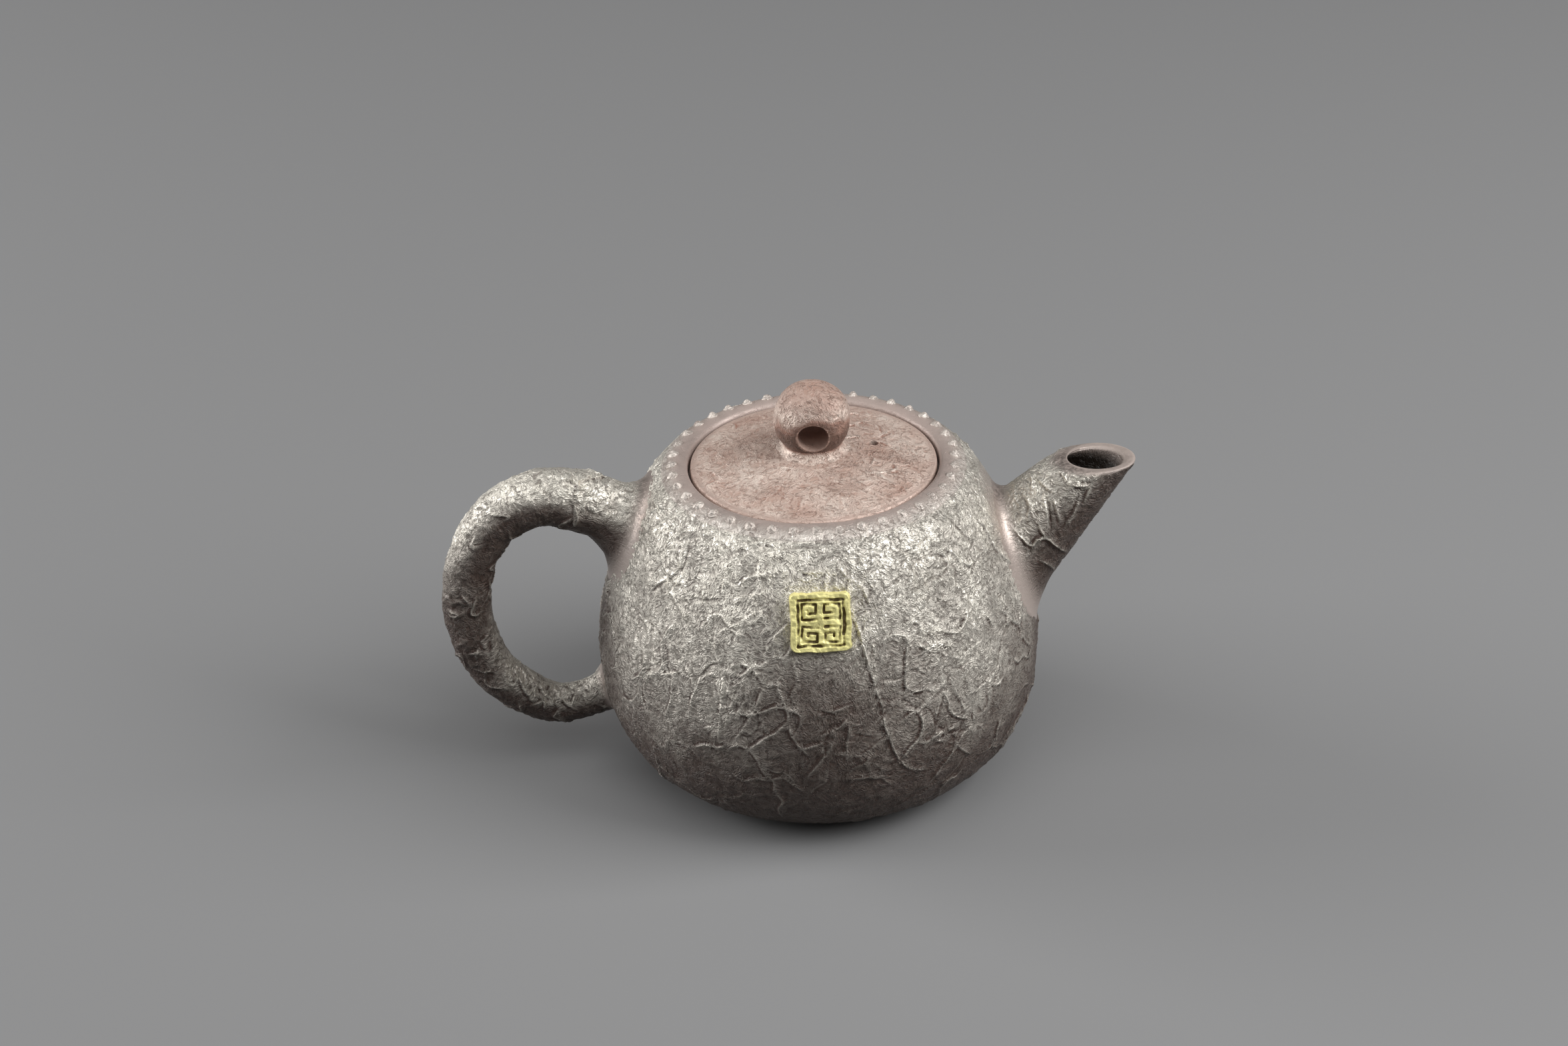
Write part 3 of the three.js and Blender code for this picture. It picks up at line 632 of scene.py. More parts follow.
shifts = [Vector()]
for i in range(STRAINER_RING_HOLES):
    angle = 2 * math.pi * i / STRAINER_RING_HOLES
    shifts.append(STRAINER_RING_RADIUS * (math.cos(angle) * SPOUT_ACROSS + math.sin(angle) * Vector((0, 1, 0))))
drills = bmesh.new()
for shift in shifts:
    drill = rod(SPOUT_TIP - 46 * SPOUT_AXIS + shift, SPOUT_TIP - 16 * SPOUT_AXIS + shift, STRAINER_HOLE_RADIUS, 16)
    drill_mesh = bpy.data.meshes.new("drill")
    drill.to_mesh(drill_mesh)
    drill.free()
    drills.from_mesh(drill_mesh)
    bpy.data.meshes.remove(drill_mesh)
place(bored(wall, drills), "wall", rough_clay, "pot", "rough_clay", "body_wall")

# Base: a flat clay disc that closes the wall at the bottom, scraped level and wiped with a finger.
BASE_THICKNESS = 3.0
base_ease = 0.35
base_profile = [(0, 0), (0.5 * BASE_RADIUS, 0), (BASE_RADIUS - base_ease, 0), (BASE_RADIUS, base_ease / 2),
                (BASE_RADIUS, BASE_THICKNESS), (0.5 * BASE_RADIUS, BASE_THICKNESS), (0, BASE_THICKNESS)]
base = spun(base_profile, 160)
rough_layer = base.verts.layers.float.new("rough")
bloom_and_painted_light_layer = base.verts.layers.float.new("bloom_and_painted_light")
for vert in base.verts:
    vert[rough_layer] = 0.5
    vert[bloom_and_painted_light_layer] = 0.3
plain_clay = clay("plain_clay", brown=(0.17, 0.115, 0.09), silver=(0.26, 0.20, 0.165),
                  smooth=(0.20, 0.145, 0.12), bloom=(0.05, 0.2), roughness=0.62,
                  wrinkle_depth=0.06, grain=0.06, stretch=(0.2, 0.3))
place(base, "base", plain_clay, "pot", "plain_clay", "base_disc")

# Shoulder: a smooth ring of clay round the mouth, rubbed with a wet leather, with an eased edge.
SHOULDER_STEPS_ROUND = 240
MOUTH_EASE = 0.8
LUG_STEP = 0.45

smooth_clay = clay("smooth_clay", brown=(0.20, 0.14, 0.115), silver=(0.95, 0.89, 0.81),
                   smooth=(0.50, 0.40, 0.36), bloom=(0.05, 0.6), roughness=0.45,
                   wrinkle_depth=0.12, grain=0.04)
ring_outline = [point for point in outline[shoulder_joint:] if point.x > MOUTH_RADIUS + 1.6 * MOUTH_EASE]
ring_profile = [(point.x, point.y) for point in evenly(ring_outline, LUG_STEP)]
ease_top = ring_outline[-1].y
for i in range(1, 6):
    angle = math.pi / 2 * i / 5
    ring_profile.append((MOUTH_RADIUS + 1.6 * MOUTH_EASE * (1 - math.sin(angle)),
                         ease_top - 1.3 * MOUTH_EASE * (1 - math.cos(angle))))
ring_profile += [(MOUTH_RADIUS, RIM_HEIGHT - WALL), (SHOULDER_EDGE, RIM_HEIGHT - WALL - 0.6)]
ring = spun(ring_profile, SHOULDER_STEPS_ROUND, closed=True)
relief_layer, rough_layer, bloom_and_painted_light_layer, side_layer, lift_layer = marked_layers(ring)
for vert in ring.verts:
    height, out = above_skin(vert.co)
    radius = math.hypot(vert.co.x, vert.co.y)
    inward = smooth_step(0, 0.8, SHOULDER_EDGE - radius)
    outward = smooth_step(MOUTH_RADIUS + 1.5, SHOULDER_EDGE, radius)
    vert[rough_layer] = 0.15 + 0.75 * outward
    vert[bloom_and_painted_light_layer] = 0.3
    if height > -0.5 and radius > MOUTH_RADIUS + 0.1:
        # Painted light: lighter towards the front of the ring and darker towards its back.
        vert[bloom_and_painted_light_layer] = 0.65 + 0.4 * noise.noise(vert.co / 6) - 0.35 * vert.co.y / radius
        lift = inward * (0.12 * noise.noise(vert.co / 4) + (0.2 + 0.5 * outward) * crinkle(vert.co, 200))
        vert[relief_layer] = lift
        vert.co += lift * out
place(ring, "shoulder", smooth_clay, "pot", "smooth_clay", "shoulder_ring")

# Lid seat: a flat ledge luted under the shoulder, on which the lid rests.
seat_low, seat_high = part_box("lid_seat")
seat_outer = seat_high.y / MM
seat_bore = 22.6
seat_bottom = seat_low.z / MM
seat_top = seat_high.z / MM
seat_profile = [(seat_bore, seat_bottom + 0.4), (seat_bore + 0.4, seat_bottom), (seat_outer, seat_bottom),
                (seat_outer, seat_top), (seat_bore + 0.3, seat_top), (seat_bore, seat_top - 0.3)]
place(spun(seat_profile, 160, closed=True), "seat", smooth_clay, "pot", "smooth_clay", "lid_seat")

# Clay nails: forty small dabs of clay pressed on round the mouth, each a little different.
NAIL_COUNT = 40
NAIL_CIRCLE = 29.7
NAIL_HALF_WIDTH = 1.15
NAIL_HALF_LENGTH = 1.25
NAIL_HEIGHT = 0.95

nail_spot = min(outline[shoulder_joint:], key=lambda spot: abs(spot.x - NAIL_CIRCLE))
_, nail_out = above_skin(Vector((nail_spot.x, 0, nail_spot.y)))
nail_lean = math.atan2(nail_out.x, nail_out.z)
for i in range(NAIL_COUNT):
    height = NAIL_HEIGHT * dice.uniform(0.8, 1.1)
    bell = [(share, math.cos(share * math.pi / 2) ** 1.35) for share in (0, 0.2, 0.4, 0.58, 0.74, 0.88, 1.0)]
    nail = spun([(r, h * height) for r, h in bell] + [(1.0, -0.5), (0, -0.5)], 20)
    pit = dice.random() < 0.35
    pit_place = Vector((dice.uniform(-0.25, 0.25), dice.uniform(-0.25, 0.25), height))
    for vert in nail.verts:
        if pit and vert.co.z > 0:
            vert.co.z -= 0.4 * ridge((vert.co - pit_place).length, 0.3)
        vert.co += 0.12 * noise.noise_vector(vert.co * 1.3 + Vector((i, 0, 0)))
    size = Vector((NAIL_HALF_LENGTH, NAIL_HALF_WIDTH, 1)) * dice.uniform(0.9, 1.08)
    size.z = 1
    bmesh.ops.scale(nail, vec=size, verts=nail.verts)
    turn = (Matrix.Rotation(2 * math.pi * i / NAIL_COUNT + dice.uniform(-0.004, 0.004), 4, "Z")
            @ Matrix.Translation((nail_spot.x + dice.uniform(-0.15, 0.15), 0, nail_spot.y))
            @ Matrix.Rotation(nail_lean, 4, "Y") @ Matrix.Rotation(dice.uniform(-0.35, 0.35), 4, "Z"))
    bmesh.ops.transform(nail, matrix=turn, verts=nail.verts)
    rough_layer = nail.verts.layers.float.new("rough")
    bloom_and_painted_light_layer = nail.verts.layers.float.new("bloom_and_painted_light")
    for vert in nail.verts:
        vert[rough_layer] = 0.7
        vert[bloom_and_painted_light_layer] = 1.0
    place(nail, f"nail_{i + 1:02d}", smooth_clay, "pot", "smooth_clay", f"clay_nail_{i + 1:02d}", sharp=2)

# Spout: a straight tapered tube of crinkled clay with a level mouth, luted to the belly with a
# wide smooth fillet.
SPOUT_TIP_RADIUS = 6.6
SPOUT_TIP_BORE = 4.4
SPOUT_ROOT_RADIUS = 12.2
SPOUT_ROOT_BORE = 8.3
SPOUT_LENGTH = 36.0
SPOUT_STEPS_ROUND = 144
SPOUT_STEPS_ALONG = 72
LIP_CENTRE = 59.95                # of the level lip, out from the pot's axis
LIP_HALF_LENGTH = 7.05
LIP_HALF_WIDTH = 6.2
LIP_STEPS = 6                     # over the lip's rounded edge, and again across it
SPOUT_FILLET_TOP = 3.0
SPOUT_FILLET_BOTTOM = 6.0
FILLET_STEPS = 10
ROOT_DEPTH = 0.7                  # how far a root reaches under the skin
# Folds of the spout, given as the body's are.
SPOUT_FOLDS = (
    (0.60, ((1513, 783), (1530, 803), (1547, 818), (1556, 808), (1570, 808), (1590, 822), (1598, 826))),
    (0.45, ((1559, 790), (1565, 801), (1576, 806))),
    (0.40, ((1547, 708), (1549, 725), (1547, 742))),
    (-0.35, ((1568, 742), (1573, 765), (1576, 788))),
    (0.35, ((1580, 748), (1586, 768), (1590, 786))),
    (0.40, ((1584, 700), (1596, 714), (1606, 730))),
    (0.35, ((1600, 722), (1618, 728), (1636, 726))),
    (0.35, ((1556, 716), (1566, 728), (1580, 738))),
    (0.30, ((1536, 742), (1544, 758), (1541, 776))),
    (0.30, ((1618, 748), (1612, 766), (1600, 782))),
    (0.30, ((1640, 716), (1632, 738), (1624, 756))),
    (0.30, ((1596, 792), (1604, 780), (1616, 770))),
    (0.30, ((1556, 838), (1572, 846), (1584, 858))),
)
SPOUT_BACK_FOLDS = 14


def columns_of(tube, steps):
    """The upright rows of points of a spun tube, each with its angle, from the lowest point up."""
    columns = [[] for _ in range(steps)]
    for vert in tube.verts:
        columns[round(math.atan2(vert.co.y, vert.co.x) / (2 * math.pi) * steps) % steps].append(vert)
    for column, verts in enumerate(columns):
        yield 2 * math.pi * column / steps, sorted(verts, key=lambda vert: vert.co.z)


def fillet_stations(surface, inward, radius, steps):
    """Where a tube's line meets the fillet at its root: the last place inside the skin, then each
    place up to the fillet's radius above the skin. The line's place is a share from 0 to 1."""
    heights = [-ROOT_DEPTH] + [radius * (1 - math.cos(math.pi / 2 * k / steps)) for k in range(steps + 1)]
    found = []
    for height in heights:
        low, high = inward
        for _ in range(24):
            middle = (low + high) / 2
            if above_skin(surface(middle))[0] < height:
                low = middle
            else:
                high = middle
        found.append(low)
    return found


def flared(point, away, radius):
    """A tube's point moved out along the skin by the fillet at its root."""
    height, _ = above_skin(point)
    if height >= radius:
        return point
    down = min(max((radius - height) / radius, 0.0), 1.0)
    moved = point + radius * (1 - math.sqrt(1 - down * down)) * away
    for _ in range(3):
        now, out = above_skin(moved)
        moved += (height - now) * out
    return moved


def spout_point(distance, angle, tip_radius, root_radius):
    """A point on a cone round the spout's axis, by its distance below the tip, and the way it faces."""
    away = math.cos(angle) * SPOUT_ACROSS + math.sin(angle) * Vector((0, 1, 0))
    radius = tip_radius + (root_radius - tip_radius) * distance / SPOUT_LENGTH
    return SPOUT_TIP - distance * SPOUT_AXIS + radius * away, away


def mouth_distance(angle, tip_radius, root_radius):
    """Where a line of the cone meets the level plane of the spout's mouth."""
    rise = math.cos(angle) / math.tan(SPOUT_RISE)
    return tip_radius * rise / (1 - (root_radius - tip_radius) / SPOUT_LENGTH * rise)


def above_spout(point):
    """How far a point stands off the spout's smooth outside, and which way is out."""
    distance = (SPOUT_TIP - point).dot(SPOUT_AXIS)
    off = point - (SPOUT_TIP - distance * SPOUT_AXIS)
    radius = SPOUT_TIP_RADIUS + (SPOUT_ROOT_RADIUS - SPOUT_TIP_RADIUS) * distance / SPOUT_LENGTH
    return off.length - radius, off.normalized()


def lip_edge(corner):
    """The outer edge of the level lip, nearest to a corner of the tube's mouth."""
    bearing = math.atan2(corner.y / LIP_HALF_WIDTH, (corner.x - LIP_CENTRE) / LIP_HALF_LENGTH)
    return Vector((LIP_CENTRE + LIP_HALF_LENGTH * math.cos(bearing),
                   LIP_HALF_WIDTH * math.sin(bearing), corner.z))


def spout_back_fold(dice):
    """A fold on the spout's far side."""
    distance, angle = dice.uniform(4, 18), dice.uniform(0.3, math.pi - 0.3)
    points = []
    for _ in range(dice.randint(3, 4)):
        points.append(spout_point(distance, angle, SPOUT_TIP_RADIUS, SPOUT_ROOT_RADIUS)[0])
        distance += dice.uniform(-2.5, 2.5)
        angle += dice.uniform(-0.35, 0.35)
    return dice.uniform(0.25, 0.5), points


spout_folds = [(lift, [seen_at(pixel, above_spout) for pixel in pixels]) for lift, pixels in SPOUT_FOLDS]
spout_folds = mapped(spout_folds + [spout_back_fold(dice) for _ in range(SPOUT_BACK_FOLDS)], above_spout)
spout_line = FILLET_STEPS + 2 + SPOUT_STEPS_ALONG
spout_bore_steps = 24
spout_count = spout_line + 2 * LIP_STEPS + spout_bore_steps
spout = spun([(1, k) for k in range(spout_count)], SPOUT_STEPS_ROUND, closed=True)
relief_layer, rough_layer, bloom_and_painted_light_layer, side_layer, lift_layer = marked_layers(spout)
for angle, verts in columns_of(spout, SPOUT_STEPS_ROUND):
    fillet = SPOUT_FILLET_BOTTOM + (SPOUT_FILLET_TOP - SPOUT_FILLET_BOTTOM) * (0.5 + 0.5 * math.cos(angle))
    start = mouth_distance(angle, SPOUT_TIP_RADIUS, SPOUT_ROOT_RADIUS)
    corner, away = spout_point(start, angle, SPOUT_TIP_RADIUS, SPOUT_ROOT_RADIUS)
    edge = lip_edge(corner)
    edge.z += 0.15 * noise.noise(edge / 3)
    turn = start + 1.1 * (corner - edge).length + 0.3

    def outer(share):
        return spout_point(SPOUT_LENGTH + 8 + share * (turn - SPOUT_LENGTH - 8), angle,
                           SPOUT_TIP_RADIUS, SPOUT_ROOT_RADIUS)[0]

    shares = fillet_stations(outer, (0.0, 1.0), fillet, FILLET_STEPS)
    last = shares[-1]
    shares += [last + (1 - last) * (k + 1) / SPOUT_STEPS_ALONG for k in range(SPOUT_STEPS_ALONG)]
    bore_start = mouth_distance(angle, SPOUT_TIP_BORE, SPOUT_ROOT_BORE)
    bore_mouth, _ = spout_point(bore_start, angle, SPOUT_TIP_BORE, SPOUT_ROOT_BORE)
    for k, vert in enumerate(verts):
        vert[side_layer] = FOLD_REACH
        if k < spout_line + LIP_STEPS:
            if k < spout_line:
                vert.co = flared(outer(shares[k]), away, fillet)
            else:
                share = (k - spout_line + 1) / LIP_STEPS
                vert.co = outer(1.0).lerp(corner, share).lerp(corner.lerp(edge, share), share)
            height, _ = above_skin(vert.co)
            rough = smooth_step(0.05, 1.0, SPOUT_TIP.z - vert.co.z) * smooth_step(0.5, 3.4, height)
            folded, vert[side_layer], marked = fold_at(vert.co, away, spout_folds)
            lift = rough * (1.1 * crinkle(vert.co, 40) + folded)
            vert[relief_layer] = lift
            vert[rough_layer] = rough
            vert[bloom_and_painted_light_layer] = bloom_and_painted_light_at(vert.co, away)
            vert[lift_layer] = rough * marked
            vert.co += lift * away
        elif k < spout_line + 2 * LIP_STEPS:
            share = (k - spout_line - LIP_STEPS + 1) / (LIP_STEPS + 1)
            dip = 0.9 * smooth_step(0.55, 1.0, share) ** 2
            vert.co = edge.lerp(bore_mouth, share) - dip * SPOUT_AXIS
            vert[bloom_and_painted_light_layer] = 0.35
        else:
            share = (k - spout_line - 2 * LIP_STEPS) / (spout_bore_steps - 1)
            reach = SPOUT_LENGTH - 6.5
            vert.co, _ = spout_point(bore_start + 0.9 + share * (reach - bore_start - 0.9), angle,
                                     SPOUT_TIP_BORE, SPOUT_ROOT_BORE)
            if share > 0.85:
                height, out = above_skin(vert.co)
                vert.co -= max(height + ROOT_DEPTH, 0) * smooth_step(0.85, 1, share) * out
            vert[rough_layer] = 0.6
            # Painted shade: the bore turns dark brown just inside its mouth.
            vert[bloom_and_painted_light_layer] = -smooth_step(0, 0.08, share)
bmesh.ops.recalc_face_normals(spout, faces=spout.faces)
place(spout, "pouring_spout", rough_clay, "pot", "rough_clay", "spout")

# Handle: a round bar of clay bent to an ear, thickest at its upper root and thinnest at its tail,
# with a rough bark-like skin. Its roots are wiped smooth into the body.
HANDLE_PATH = ((37, 56.5), (45.5, 61.4), (56.5, 64.3), (67, 59.5), (73.2, 49.7), (75, 38.5),
               (73.3, 28.6), (68.1, 19.4), (57.2, 13.1), (46, 15.7), (38, 20))
HANDLE_ROOT_RADIUS = 6.7
HANDLE_GRIP_RADIUS = 5.15
HANDLE_TAIL_RADIUS = 4.1
HANDLE_GRIP_START = 0.45          # shares of the bar's length
HANDLE_TAPER_START = 0.58
HANDLE_TAPER_END = 0.86
HANDLE_STEPS_ROUND = 88
HANDLE_STEPS_ALONG = 320
HANDLE_TOP_FILLETS = (4.5, 8.5)   # on the ear's outer side and on its inner side
HANDLE_TAIL_FILLETS = (1.8, 5.2)
HANDLE_FOLDS = 70

handle_line = through([Vector((-out, 0, up)) for out, up in HANDLE_PATH], 0.25)


def handle_frame(share):
    """Middle of the bar, the way across it in its own plane, and its radius, at a share of its length."""
    reach = min(max(share, 0.0), 1.0) * (len(handle_line) - 1)
    i = min(int(reach), len(handle_line) - 2)
    middle = handle_line[i].lerp(handle_line[i + 1], reach - i)
    before, after = handle_line[max(i - 6, 0)], handle_line[min(i + 7, len(handle_line) - 1)]
    across = Vector((0, 1, 0)).cross((after - before).normalized())
    radius = HANDLE_GRIP_RADIUS
    radius += (HANDLE_ROOT_RADIUS - HANDLE_GRIP_RADIUS) * (1 - smooth_step(0, HANDLE_GRIP_START, share))
    taper = min(max((share - HANDLE_TAPER_START) / (HANDLE_TAPER_END - HANDLE_TAPER_START), 0.0), 1.0)
    return middle, across, radius + (HANDLE_TAIL_RADIUS - HANDLE_GRIP_RADIUS) * taper


def bar(share, angle):
    """A point on the smooth bar, by its share of the length and its angle round it, and the way it faces."""
    middle, across, radius = handle_frame(share)
    away = math.cos(angle) * across + math.sin(angle) * Vector((0, 1, 0))
    return middle + radius * away, away


def by_angle(outer_and_inner, angle):
    """A size that changes evenly from the ear's outer side to its inner side."""
    outer, inner = outer_and_inner
    return inner + (outer - inner) * (0.5 + 0.5 * math.cos(angle))


handle_map = kdtree.KDTree(len(handle_line))
for i, point in enumerate(handle_line):
    handle_map.insert(point, i)
handle_map.balance()


def above_handle(point):
    """How far a point stands off the smooth bar, and which way is out."""
    _, i, _ = handle_map.find(point)
    middle, _, radius = handle_frame(i / (len(handle_line) - 1))
    return (point - middle).length - radius, (point - middle).normalized()


def handle_fold(dice):
    """A fold that runs a short way over the bar."""
    share, angle = dice.uniform(0.12, 0.9), dice.uniform(0, 2 * math.pi)
    points = []
    for _ in range(dice.randint(3, 5)):
        points.append(bar(share, angle)[0])
        share += dice.uniform(-0.022, 0.022)
        angle += dice.uniform(-0.5, 0.5)
    return dice.uniform(0.25, 0.5), points


handle_folds = mapped([handle_fold(dice) for _ in range(HANDLE_FOLDS)], above_handle)
handle_count = HANDLE_STEPS_ALONG + 2 * (FILLET_STEPS + 2) - 1
handle = spun([(1, k) for k in range(handle_count)], HANDLE_STEPS_ROUND)
relief_layer, rough_layer, bloom_and_painted_light_layer, side_layer, lift_layer = marked_layers(handle)
for angle, verts in columns_of(handle, HANDLE_STEPS_ROUND):

    def side_of_bar(share):
        return bar(share, angle)[0]

    top_fillet, tail_fillet = by_angle(HANDLE_TOP_FILLETS, angle), by_angle(HANDLE_TAIL_FILLETS, angle)
    top = fillet_stations(side_of_bar, (0.0, 0.3), top_fillet, FILLET_STEPS)
    tail = fillet_stations(side_of_bar, (1.0, 0.7), tail_fillet, FILLET_STEPS)
    span = [top[-1] + (tail[-1] - top[-1]) * k / HANDLE_STEPS_ALONG for k in range(1, HANDLE_STEPS_ALONG)]
    for vert, share in zip(verts, top + span + list(reversed(tail))):
        point, away = bar(share, angle)
        vert.co = flared(point, away, top_fillet if share < 0.5 else tail_fillet)
        height, _ = above_skin(vert.co)
        rough = smooth_step(0.3, 2.6, height)
        folded, vert[side_layer], marked = fold_at(vert.co, away, handle_folds)
        lift = rough * (1.2 * crinkle(vert.co, 80) + 0.3 * noise.noise(vert.co / 5) + folded)
        # Painted highlight: the relief is raised on the bar's upper side, which only makes its colour lighter.
        vert[relief_layer] = lift + 0.25 * smooth_step(0.3, 0.9, away.z)
        vert[rough_layer] = rough
        # Painted shade: a higher least makes the bar darker where it faces sideways.
        vert[bloom_and_painted_light_layer] = bloom_and_painted_light_at(vert.co, away, 0.3, -0.10)
        vert[lift_layer] = rough * marked
        vert.co += lift * away
bmesh.ops.holes_fill(handle, edges=[edge for edge in handle.edges if edge.is_boundary], sides=HANDLE_STEPS_ROUND)
bmesh.ops.recalc_face_normals(handle, faces=handle.faces)
place(handle, "ear_handle", rough_clay, "pot", "rough_clay", "handle")

# Seal tile: a small square of clay with rounded corners, a key fret pressed into its face, and
# gold leaf laid over it, patchy at random and darker where the face is sunk, in the grooves.
SEAL_SIZE = 12.3
SEAL_CORNER = 1.5
SEAL_PROUD = 1.0
SEAL_SUNK = 1.2                   # from the middle of the skin to the tile's foot, under the curved wall
SEAL_HEIGHT = 55.7
FRET_MARGIN = 1.5
FRET_PITCH = 1.2
FRET_WIDTH = 0.55
FRET_DEPTH = 0.5
SEAL_STEPS = 132

border = SEAL_SIZE / 2 - FRET_MARGIN
spiral = border / 2 - 0.7 * FRET_PITCH
inner = spiral - FRET_PITCH
spiral_turns = ((-spiral, -spiral), (spiral, -spiral), (spiral, spiral), (-spiral, spiral), (-spiral, -inner),
                (inner, -inner), (inner, inner))
fret_lines = [[Vector((x * border, y * border)) for x, y in ((-1, -1), (1, -1), (1, 1), (-1, 1), (-1, -1))]]
for right in (-1, 1):
    for up in (-1, 1):
        fret_lines.append([Vector((right * (x + border / 2), up * (y + border / 2))) for x, y in spiral_turns])
fret = [pair for line in fret_lines for pair in zip(line, line[1:])]


def to_fret(point):
    """Distance from a place on the tile's face to the nearest line of the fret."""
    nearest = SEAL_SIZE
    for a, b in fret:
        share = min(max((point - a).dot(b - a) / (b - a).length_squared, 0.0), 1.0)
        nearest = min(nearest, (point - a.lerp(b, share)).length)
    return nearest


seal_spot = min(outline[len(outline) // 3:], key=lambda spot: abs(spot.y - SEAL_HEIGHT))
_, seal_out = above_skin(Vector((0, -seal_spot.x, seal_spot.y)))
seal = bmesh.new()
bmesh.ops.create_grid(seal, x_segments=SEAL_STEPS, y_segments=SEAL_STEPS, size=SEAL_SIZE / 2 + 0.25)
rim = [edge for edge in seal.edges if edge.is_boundary]
relief_layer = seal.verts.layers.float.new("relief")
for vert in seal.verts:
    wobble = noise.noise_vector(vert.co / 1.6) * 0.15 + noise.noise_vector(vert.co / 4) * 0.30
    flat = Vector((vert.co.x + wobble.x, vert.co.y + wobble.y))
    edge = SEAL_SIZE / 2 - SEAL_CORNER
    beyond = Vector((max(abs(flat.x) - edge, 0), max(abs(flat.y) - edge, 0)))
    inside = SEAL_CORNER - beyond.length if beyond.length > 0 else SEAL_SIZE / 2 - max(abs(flat.x), abs(flat.y))
    groove = 1 - smooth_step(0.3 * FRET_WIDTH, 0.75 * FRET_WIDTH, to_fret(flat))
    wear = 0.7 + 0.9 * noise.noise(vert.co / 2.2)
    relief = -FRET_DEPTH * groove * wear + 0.16 * noise.noise(vert.co / 0.9) + 0.18 * noise.noise(vert.co / 3.1)
    side = smooth_step(-0.16, 0.34, inside)
    vert[relief_layer] = relief
    vert.co.z = (SEAL_PROUD + SEAL_SUNK + relief) * side - SEAL_SUNK
lowered = bmesh.ops.extrude_edge_only(seal, edges=rim)["geom"]
foot = [part for part in lowered if isinstance(part, bmesh.types.BMVert)]
for vert in foot:
    vert.co.z = -1.4
bmesh.ops.contextual_create(seal, geom=[part for part in lowered if isinstance(part, bmesh.types.BMEdge)
                                        and part.is_boundary])
bmesh.ops.recalc_face_normals(seal, faces=seal.faces)
seal_turn = (Matrix.Translation((0, -seal_spot.x, seal_spot.y))
             @ Matrix.Rotation(math.pi / 2 - math.atan2(seal_out.z, -seal_out.y), 4, "X"))
bmesh.ops.transform(seal, matrix=seal_turn, verts=seal.verts)

gold_leaf = bpy.data.materials.new("gold_leaf")
gold_leaf.use_nodes = True
tree = gold_leaf.node_tree
leaf = tree.nodes["Principled BSDF"]
spot = wire(tree, "Mapping", {"Vector": wire(tree, "TexCoord", {})["Object"], "Scale": (1000, 1000, 1000)})[0]
relief = wire(tree, "Attribute", {}, attribute_name="relief")["Fac"]
torn = wire(tree, "TexNoise", {"Vector": spot, "Scale": 1.3, "Detail": 4.0, "Roughness": 0.65})[0]
# Darker where the face is sunk, in the grooves of the fret.
deep = wire(tree, "MapRange", {"Value": relief, "From Min": -0.42, "From Max": -0.05})[0]
bright = wire(tree, "Math", {0: torn, 1: 1.5, 2: deep}, operation="MULTIPLY_ADD")[0]
bright = wire(tree, "MapRange", {"Value": bright, "From Min": 0.85, "From Max": 1.50})[0]
gold = wire(tree, "Mix", {0: bright, 6: (0.10, 0.065, 0.015, 1), 7: (1.0, 0.92, 0.40, 1)}, data_type="RGBA")[2]
tree.links.new(gold, leaf.inputs["Base Color"])
tree.links.new(wire(tree, "MapRange", {"Value": bright, "To Min": 0.15, "To Max": 0.35})[0], leaf.inputs["Metallic"])
leaf.inputs["Roughness"].default_value = 0.42
foil = wire(tree, "TexNoise", {"Vector": spot, "Scale": 2.2, "Detail": 3.0, "Roughness": 0.6})[0]
tree.links.new(wire(tree, "Bump", {"Strength": 1.0, "Distance": 0.15 * MM, "Height": foil})[0], leaf.inputs["Normal"])
place(seal, "seal", gold_leaf, "pot", "gold_leaf", "seal_tile")

# Lid: a shallow domed plate with an eased edge and a small vent, hollowed underneath. Its finer,
# pinker clay has a web of thin wrinkles, made pale on their crests by painted highlights.
LID_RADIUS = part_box("lid_plate")[1].y / MM
LID_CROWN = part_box("lid_plate")[1].z / MM
LID_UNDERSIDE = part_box("lid_plate")[0].z / MM
LID_DOME = 3.6
LID_EDGE_ROUND = 0.75
LID_HOLLOW = 2.8
FLANGE_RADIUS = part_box("lid_flange")[1].y / MM
FLANGE_WALL = 2.5
VENT_RADIUS = 1.0
VENT_PLACE = Vector((12.8, 2.26, 0))
LID_STEPS_ROUND = 360
LID_WRINKLES = 90


def lid_top(radius):
    """Height of the lid's smooth top at a distance from its middle."""
    return LID_CROWN - LID_DOME * (radius / LID_RADIUS) ** 2


def above_lid(point):
    """How far a point stands above the lid's smooth top, and which way is out."""
    return point.z - lid_top(math.hypot(point.x, point.y)), Vector((0, 0, 1))


def lid_wrinkle(dice):
    """A fine wrinkle of the lid, which wanders over its top."""
    bearing, reach = dice.uniform(0, 2 * math.pi), (LID_RADIUS - 3) * math.sqrt(dice.uniform(0.1, 1))
    point = Vector((reach * math.cos(bearing), reach * math.sin(bearing), 0))
    heading = dice.uniform(0, 2 * math.pi)
    points = []
    for _ in range(dice.randint(3, 5)):
        points.append(point.copy())
        heading += dice.uniform(-0.8, 0.8)
        point += dice.uniform(1.4, 2.4) * Vector((math.cos(heading), math.sin(heading), 0))
    return dice.uniform(-0.2, 0.4), points


lid_folds = mapped([lid_wrinkle(dice) for _ in range(LID_WRINKLES)], above_lid)


